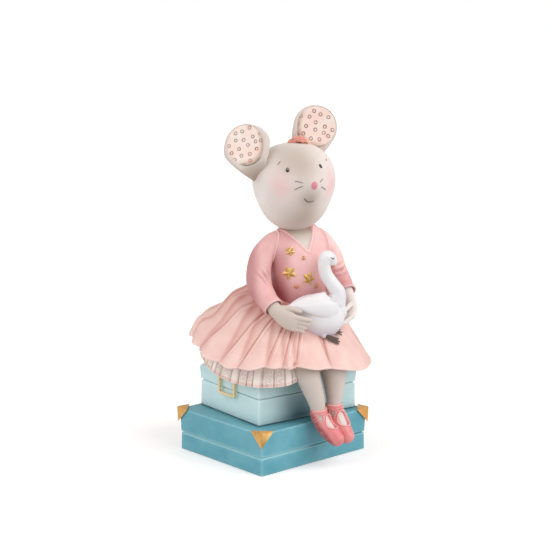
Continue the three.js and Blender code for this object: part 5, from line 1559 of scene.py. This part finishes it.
# %% Beak, closed eye and webbed feet
beak_paint = painted("rose_beak_paint", "cf7c68", "8a4038", "f4b8a4", rough=0.35, waver=0.5, coat=0.2)
web_paint = painted("dark_brown_web_paint", "4a3730", "241814", "8a6f5e", rough=0.45, waver=0.8, coat=0.1)
beak = [[9.9, 19.5, 102.2, 1.5], [9.75, 19.55, 101.0, 1.35], [9.5, 19.6, 100.0, 1.1], [8.95, 19.6, 98.8, 0.6]]
piece("rose_beak", *limb(beak, 28, 24, (0.3, 0.9)), beak_paint, "rose_paint", ["swan_beak"],
      wash=0.8, edge=0.5, soften=1)
swan_faces = [list(face.vertices) for face in swan_mesh.polygons]
swan_tree = BVHTree.FromPolygons(points_of(swan_mesh).tolist(), swan_faces)


def on_swan(places):
    """The nearest points of the swan's skin."""
    return np.array([list(swan_tree.find_nearest(Vector(place))[0]) for place in places])


swan_eyes = []
lid = np.array([[7.2, 19.2, 105.3], [8.0, 19.2, 104.5], [8.9, 19.3, 104.4], [9.6, 19.4, 105.1]])
for aside in (3.4, -3.4):
    places = on_swan(in_mouse(*(lid + [0, aside, 0]).T))
    line = np.column_stack([places, [0.12, 0.26, 0.28, 0.12]]).tolist()
    swan_eyes.append(skin(tube(line, 8, 20, (0.8, 0.8))[0]))
piece("closed_swan_eyes", *joined(swan_eyes), ink, "brown_paint", wash=0.1, edge=0.1, soften=1)


def webbed_foot(ankle, forwards, upwards):
    """Three toes and a thin web in the foot's own frame (x along the toes, z out of the web), then placed."""
    tips = [(8.4, 0.1), (7.9, 1.7), (7.5, -1.6)]
    toes = [[[-0.7, 0.0, 0.4, 0.8], [3.4, y * 0.5, 0.3, 0.6], [x, y, 0.0, 0.36]] for x, y in tips]
    web = [[-0.4, 0, 0.1, 0.9, 0.5], [3.2, 0.1, 0.1, 1.35, 0.42], [6.6, 0.1, 0, 1.9, 0.34]]
    shells = [tube(toe, 14, 16)[0] for toe in toes] + [tube(web, 24, 20)[0]]
    out = unit(np.array(upwards) - np.dot(forwards, upwards) * np.array(forwards))
    axes = np.array([forwards, np.cross(out, forwards), out])
    return [skin(rings @ axes + ankle) for rings in shells]


feet = {"near": (in_mouse(3.2, 26.9, 65.8), (0.893, -0.165, -0.418), (0.17, -0.79, 0.59)),
        "far": (in_mouse(6.2, 25.3, 68.8), (0.948, 0.058, -0.313), (0.24, -0.78, 0.58))}
for side, foot in feet.items():
    dressed(side + "_webbed_foot", fused(webbed_foot(*foot), 0.16, 2), web_paint, "brown_paint",
            ["swan_" + side + "_foot"], wash=0.5, edge=0.5, soften=1)

# %% [markdown]
# ## Legs and shoes
# The legs are plain tapered tubes with a foot at the end. The shoes are a second skin over the feet: a
# slipper with a strap at the ankle, a pear-shaped opening over the instep and a small one at each side.
# Inside an opening the shoe's skin dives below the foot's, so the foot shows, and a rolled rim runs
# round it. That keeps the shoe one closed surface without any cutting.

# %% Legs
leg_lines = {
    "right": [[-13.2, -33.4, 53, 6.3], [-12.6, -34.6, 47.5, 6.1], [-8.6, -35.9, 35, 4.4],
              [-6.7, -36.2, 28.4, 3.6], [-5.8, -38.2, 23.5, 3.4], [-4.0, -42.9, 17.6, 3]],
    "left": [[4.8, -33.2, 52, 6.5], [4.8, -34.8, 47, 6.4], [4.2, -35.9, 35.5, 4.5], [3.9, -36.2, 29.2, 3.6],
             [4.2, -38.2, 24.2, 3.4], [4.4, -42.8, 17.9, 3]],
}

def leg_shade(places):
    """Shade lies between the legs and high under the hem, and less at the ankles."""
    x, _, z = places.T
    gap = np.exp(-np.abs(x + 3.4) / 2.8) * step_up(z, 26, 34)
    return 0.5 + 0.35 * gap + 0.35 * step_up(z, 46, 54) - 0.25 * step_up(-z, -30, -24)

for side, line in leg_lines.items():
    rings = tube(line, 64, 110, (0.6, 0.9))[0]
    rings = rings + outward(rings) * (0.1 * unevenness(rings, 14.0, 61))[..., None]
    piece(side + "_stockinged_leg", *skin(rings), fur, "fur_paint", [side + "_leg"],
          wash=0.5, edge=0.2, soften=3, shade=leg_shade)

# %% Shoes
shoe_paint = painted("coral_shoe_paint", "e67b7e", "9c3a42", "fdd2ca", rough=0.38, waver=1.3, coat=0.2)
shoe_lines = {
    "right": [[-6.9, -36.1, 29.6, 4.4], [-6.7, -36.1, 27.6, 4.5], [-5.7, -38.6, 22.8, 4.7],
              [-4.0, -42.5, 18.0, 4.6], [-2.7, -45.2, 15.2, 3.9]],
    "left": [[3.9, -36.1, 30.4, 4.4], [3.9, -36.1, 28.4, 4.5], [4.2, -38.6, 23.5, 4.7],
             [4.3, -42.4, 18.1, 4.6], [4.5, -45, 15.2, 3.9]],
}


def shoe_rings(side):
    """The slipper's rings from inside the collar, over its rim and down to the toe. q is the distance from
    an opening's middle in units of its own size. Inside q = 1 the skin dives, and just outside stands the
    rim."""
    line = shoe_lines[side]
    rings = tube(line, 128, 150, (0.0, 0.95))[0]
    ankle, ball = np.array(line[1][:3]), np.array(line[3][:3])
    slope = unit(ball - ankle)
    sideways = unit(np.cross(slope, [0, 0, 1.0]))
    out = unit(np.cross(sideways, slope))
    push = 0.12 * unevenness(rings, 9.0, 71)
    spots = [(0.6, 4.4, 0.0, 4.0, 3.5, 0.16)] + [(0.24, 1.4, aside, 1.9, 1.4, 0.0) for aside in (4.4, -4.4)]
    for share, lift, beside, length, width, pear in spots:
        local = rings - (ankle + (ball - ankle) * share + out * lift + sideways * beside)
        s = local @ slope / length
        aside = out if beside else sideways
        t = local @ aside / (width * (1 + pear * np.tanh(s)))
        way = sideways * np.sign(beside) if beside else out
        q = np.hypot(s, t) + 9 * (local @ way < -3.2)
        rim = 0.18 if beside else 0.3
        push = push - 1.75 * step_up(-q, -1.0, -0.84) + rim * bump_at(q, 1.07, 0.07)
    strap = (rings - ankle) @ slope
    push = push - 0.22 * bump_at(strap, 2.3, 0.35) + 0.2 * bump_at(strap, -1.6, 0.5)
    rings = rings + outward(rings) * push[..., None]
    collar = rings[0]
    middle = collar.mean(0)
    inner = [middle + (collar - middle) * scale + np.array([0, 0, up]) for scale, up in
             ((0.6, -2.0), (0.74, -0.6), (0.83, 0.25), (0.91, 0.5), (0.97, 0.35))]
    return np.concatenate([inner, rings])


def shoe_stain(places):
    """Painted shade down the outer side of each shoe, measured across from its middle line."""
    x, y, z = places.T
    middle = np.where(x < 0.2, 19.0 + 0.73 * (27.6 - z), 26.9 + 0.48 * (28.4 - z))
    return 0.75 * step_up(middle - (0.748 * x - 0.664 * y), 1.2, 4.0)


for side in ("right", "left"):
    piece(side + "_strap_shoe", *skin(shoe_rings(side)), shoe_paint, "shoe_paint", [side + "_shoe"],
          wash=0.9, edge=1.2, soften=1, stain=shoe_stain)

# %% [markdown]
# ## Stars and beads
# Three puffed stars and three beads sit on the chest, painted antique gold and copper. A star is a
# cone over a star-shaped outline: ridges come by themselves where the outline reaches out, and
# furrows where it draws in. The beads are turned, each with a thin collar at its foot.

# %% Stars and beads
star_gold = painted("antique_gold_paint", "d19a42", "54330f", "ffe9a8", rough=0.28, waver=1.0, metal=0.7,
                    coat=0.2)
copper = painted("copper_bead_paint", "c27c50", "5f2a1a", "ffd9b0", rough=0.26, waver=0.8, metal=0.6,
                 coat=0.3)


def chest_axes(across, height):
    """A place on the chest and three axes as rows: across, up and out of the chest."""
    wide, deep, _ = torso_size(height)
    places = [in_mouse(u, deep * np.sqrt(1 - (u / wide) ** 2) + 0.2, height) for u in (across, across + 0.5)]
    out = unit(np.cross(places[1] - places[0], [0, 0, 1.0]))
    sideways = unit(np.cross([0, 0, 1.0], out))
    return places[0], np.array([sideways, np.cross(out, sideways), out])


def star_rings(radius, spin):
    """Outline r (0.49 + 0.5 w^1.05), where w is a triangle wave with five tips, its tips and notches rounded.
    Height 0.55 + 0.95 (1 - s)^0.85, with a rounded shoulder and straight sides down into the chest."""
    angle = np.linspace(0, 2 * np.pi, 150, endpoint=False)
    phase = np.abs(((angle * 5 / (2 * np.pi)) % 1) * 2 - 1)
    wave = np.sqrt(phase**2 + 0.004) - 0.02
    reach = radius * (0.49 + 0.5 * np.minimum(wave, 0.97) ** 1.05)
    share = np.linspace(0.03, 1, 22)[:, None]
    rows = [np.broadcast_arrays(share * reach, 0.55 + 0.95 * (1 - share) ** 0.85 - 0.12 * share**8)]
    sides = np.array([[1.02, 0.3], [1.02, 0.0], [0.98, -0.6], [0.95, -1.6]])
    rows.append(np.broadcast_arrays(sides[:, :1] * reach, sides[:, 1:]))
    flat, height = [np.concatenate(pair) for pair in zip(*rows)]
    start = np.radians(spin) + np.pi / 2 + np.pi / 5
    return np.stack([flat * np.cos(angle + start), flat * np.sin(angle + start), height], -1)


stars = {"small": (-9.3, 107.4, 2.75, 12), "large": (-9.8, 96.6, 3.95, -8), "middle": (-0.6, 93.5, 3.6, 14)}
for name, (across, height, radius, spin) in stars.items():
    place, axes = chest_axes(across, height)
    piece(name + "_puffed_star", *skin(star_rings(radius, spin) @ axes + place), star_gold, "antique_gold",
          [name + "_star"], wash=1.6, edge=1.5, soften=1)

beads = {"upper": (-3.0, 103.9, 1.0), "left": (4.3, 89.2, 1.3), "right": (-6.5, 89.6, 1.25)}
for name, (across, height, radius) in beads.items():
    place, axes = chest_axes(across, height)
    swing = np.linspace(0.03, np.pi / 2, 20)
    profile = list(zip(radius * 0.97 * np.sin(swing), radius * (0.12 + 0.86 * np.cos(swing))))
    collar = [(1.0, 0.06), (1.14, 0.02), (1.17, -0.12), (1.1, -0.9)]
    profile += [(radius * out, up) for out, up in collar] + [(0.02, -0.9)]
    piece(name + "_turned_bead", *skin(turned(profile, 48) @ axes + place), copper, "antique_gold",
          [name + "_bead"], wash=1.2, edge=0.7, soften=1)

# %% [markdown]
# ## Light and backdrop
# Product photos like this one are lit by two large soft boxes, one at each side, the right one a little
# stronger. Two suns with a very wide angle stand for them, and a plain grey world fills the shadows.
# The camera sees the world as white, and so do rays that pass through glass. The floor keeps the
# shadow. Only for the camera it has a faint glow and a slightly warm colour, so that the shadow stays
# as pale and neutral as in the photo.

# %% Floor, world and lamps
floor_paint = Recipe("white_floor")
is_camera = floor_paint.add("ShaderNodeLightPath").outputs["Is Camera Ray"]
floor_colour = floor_paint.mix(is_camera, (0.72, 0.72, 0.72, 1.0), (1.0, 0.965, 0.95, 1.0))
camera_glow = floor_paint.math("MULTIPLY", is_camera, 0.19)
for socket, value in (("Base Color", floor_colour), ("Emission Color", (1.0, 1.0, 1.0, 1.0)),
                      ("Emission Strength", camera_glow), ("Roughness", 1.0), ("Specular IOR Level", 0.0)):
    floor_paint.feed(floor_paint.shader.inputs[socket], value)
floor_corners = np.array([(-3, -3, 0), (3, -3, 0), (3, 3, 0), (-3, 3, 0)]) / MM
floor_mesh = mesh_of("floor", floor_corners, [(0, 1, 2, 3)])
floor_mesh.materials.append(floor_paint.material)
floor = linked("floor", floor_mesh)
floor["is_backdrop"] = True

ambient = 0.6
world = bpy.data.worlds.new("white_room")
bpy.context.scene.world = world
world.use_nodes = True
sky = world.node_tree
rays = sky.nodes.new("ShaderNodeLightPath")
seen = sky.nodes.new("ShaderNodeMath")
seen.operation, seen.use_clamp = "ADD", True
sky.links.new(rays.outputs["Is Camera Ray"], seen.inputs[0])
sky.links.new(rays.outputs["Is Transmission Ray"], seen.inputs[1])
strength = sky.nodes.new("ShaderNodeMapRange")
strength.inputs["To Min"].default_value = ambient
sky.links.new(seen.outputs[0], strength.inputs["Value"])
backdrop = sky.nodes["Background"]
backdrop.inputs["Color"].default_value = (1.0, 1.0, 1.0, 1.0)
sky.links.new(strength.outputs["Result"], backdrop.inputs["Strength"])


def soft_box(name, beside_camera, elevation, power, spread):
    """A sun from an azimuth beside the camera's own, in degrees, with a wide angle for soft shadows."""
    lamp = bpy.data.lights.new(name, "SUN")
    lamp.energy, lamp.angle = power, np.radians(spread)
    way = Vector(direction(turn + np.radians(beside_camera), np.radians(elevation)))
    linked(name, lamp).rotation_euler = way.to_track_quat("Z", "Y").to_euler()


soft_box("left_soft_box", -68, 34, 1.0, 60)
soft_box("right_soft_box", 66, 38, 1.55, 60)
bpy.context.scene.view_settings.view_transform = "Standard"
print("ambient", ambient)

# %% [markdown]
# Last, the finished model's own box is measured against the frame's. The painted figure may not grow
# beyond it, because other parts are placed by that box.

# %% Sizes and finish
finished_box = [list(corner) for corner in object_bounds()]
growth = (np.array(finished_box) - np.array(cad_box)) / MM
print("growth of the box in mm:", growth.round(2).tolist())
print("pieces:", len(pieces), "faces:", sum(len(thing.data.polygons) for thing in pieces.values()))
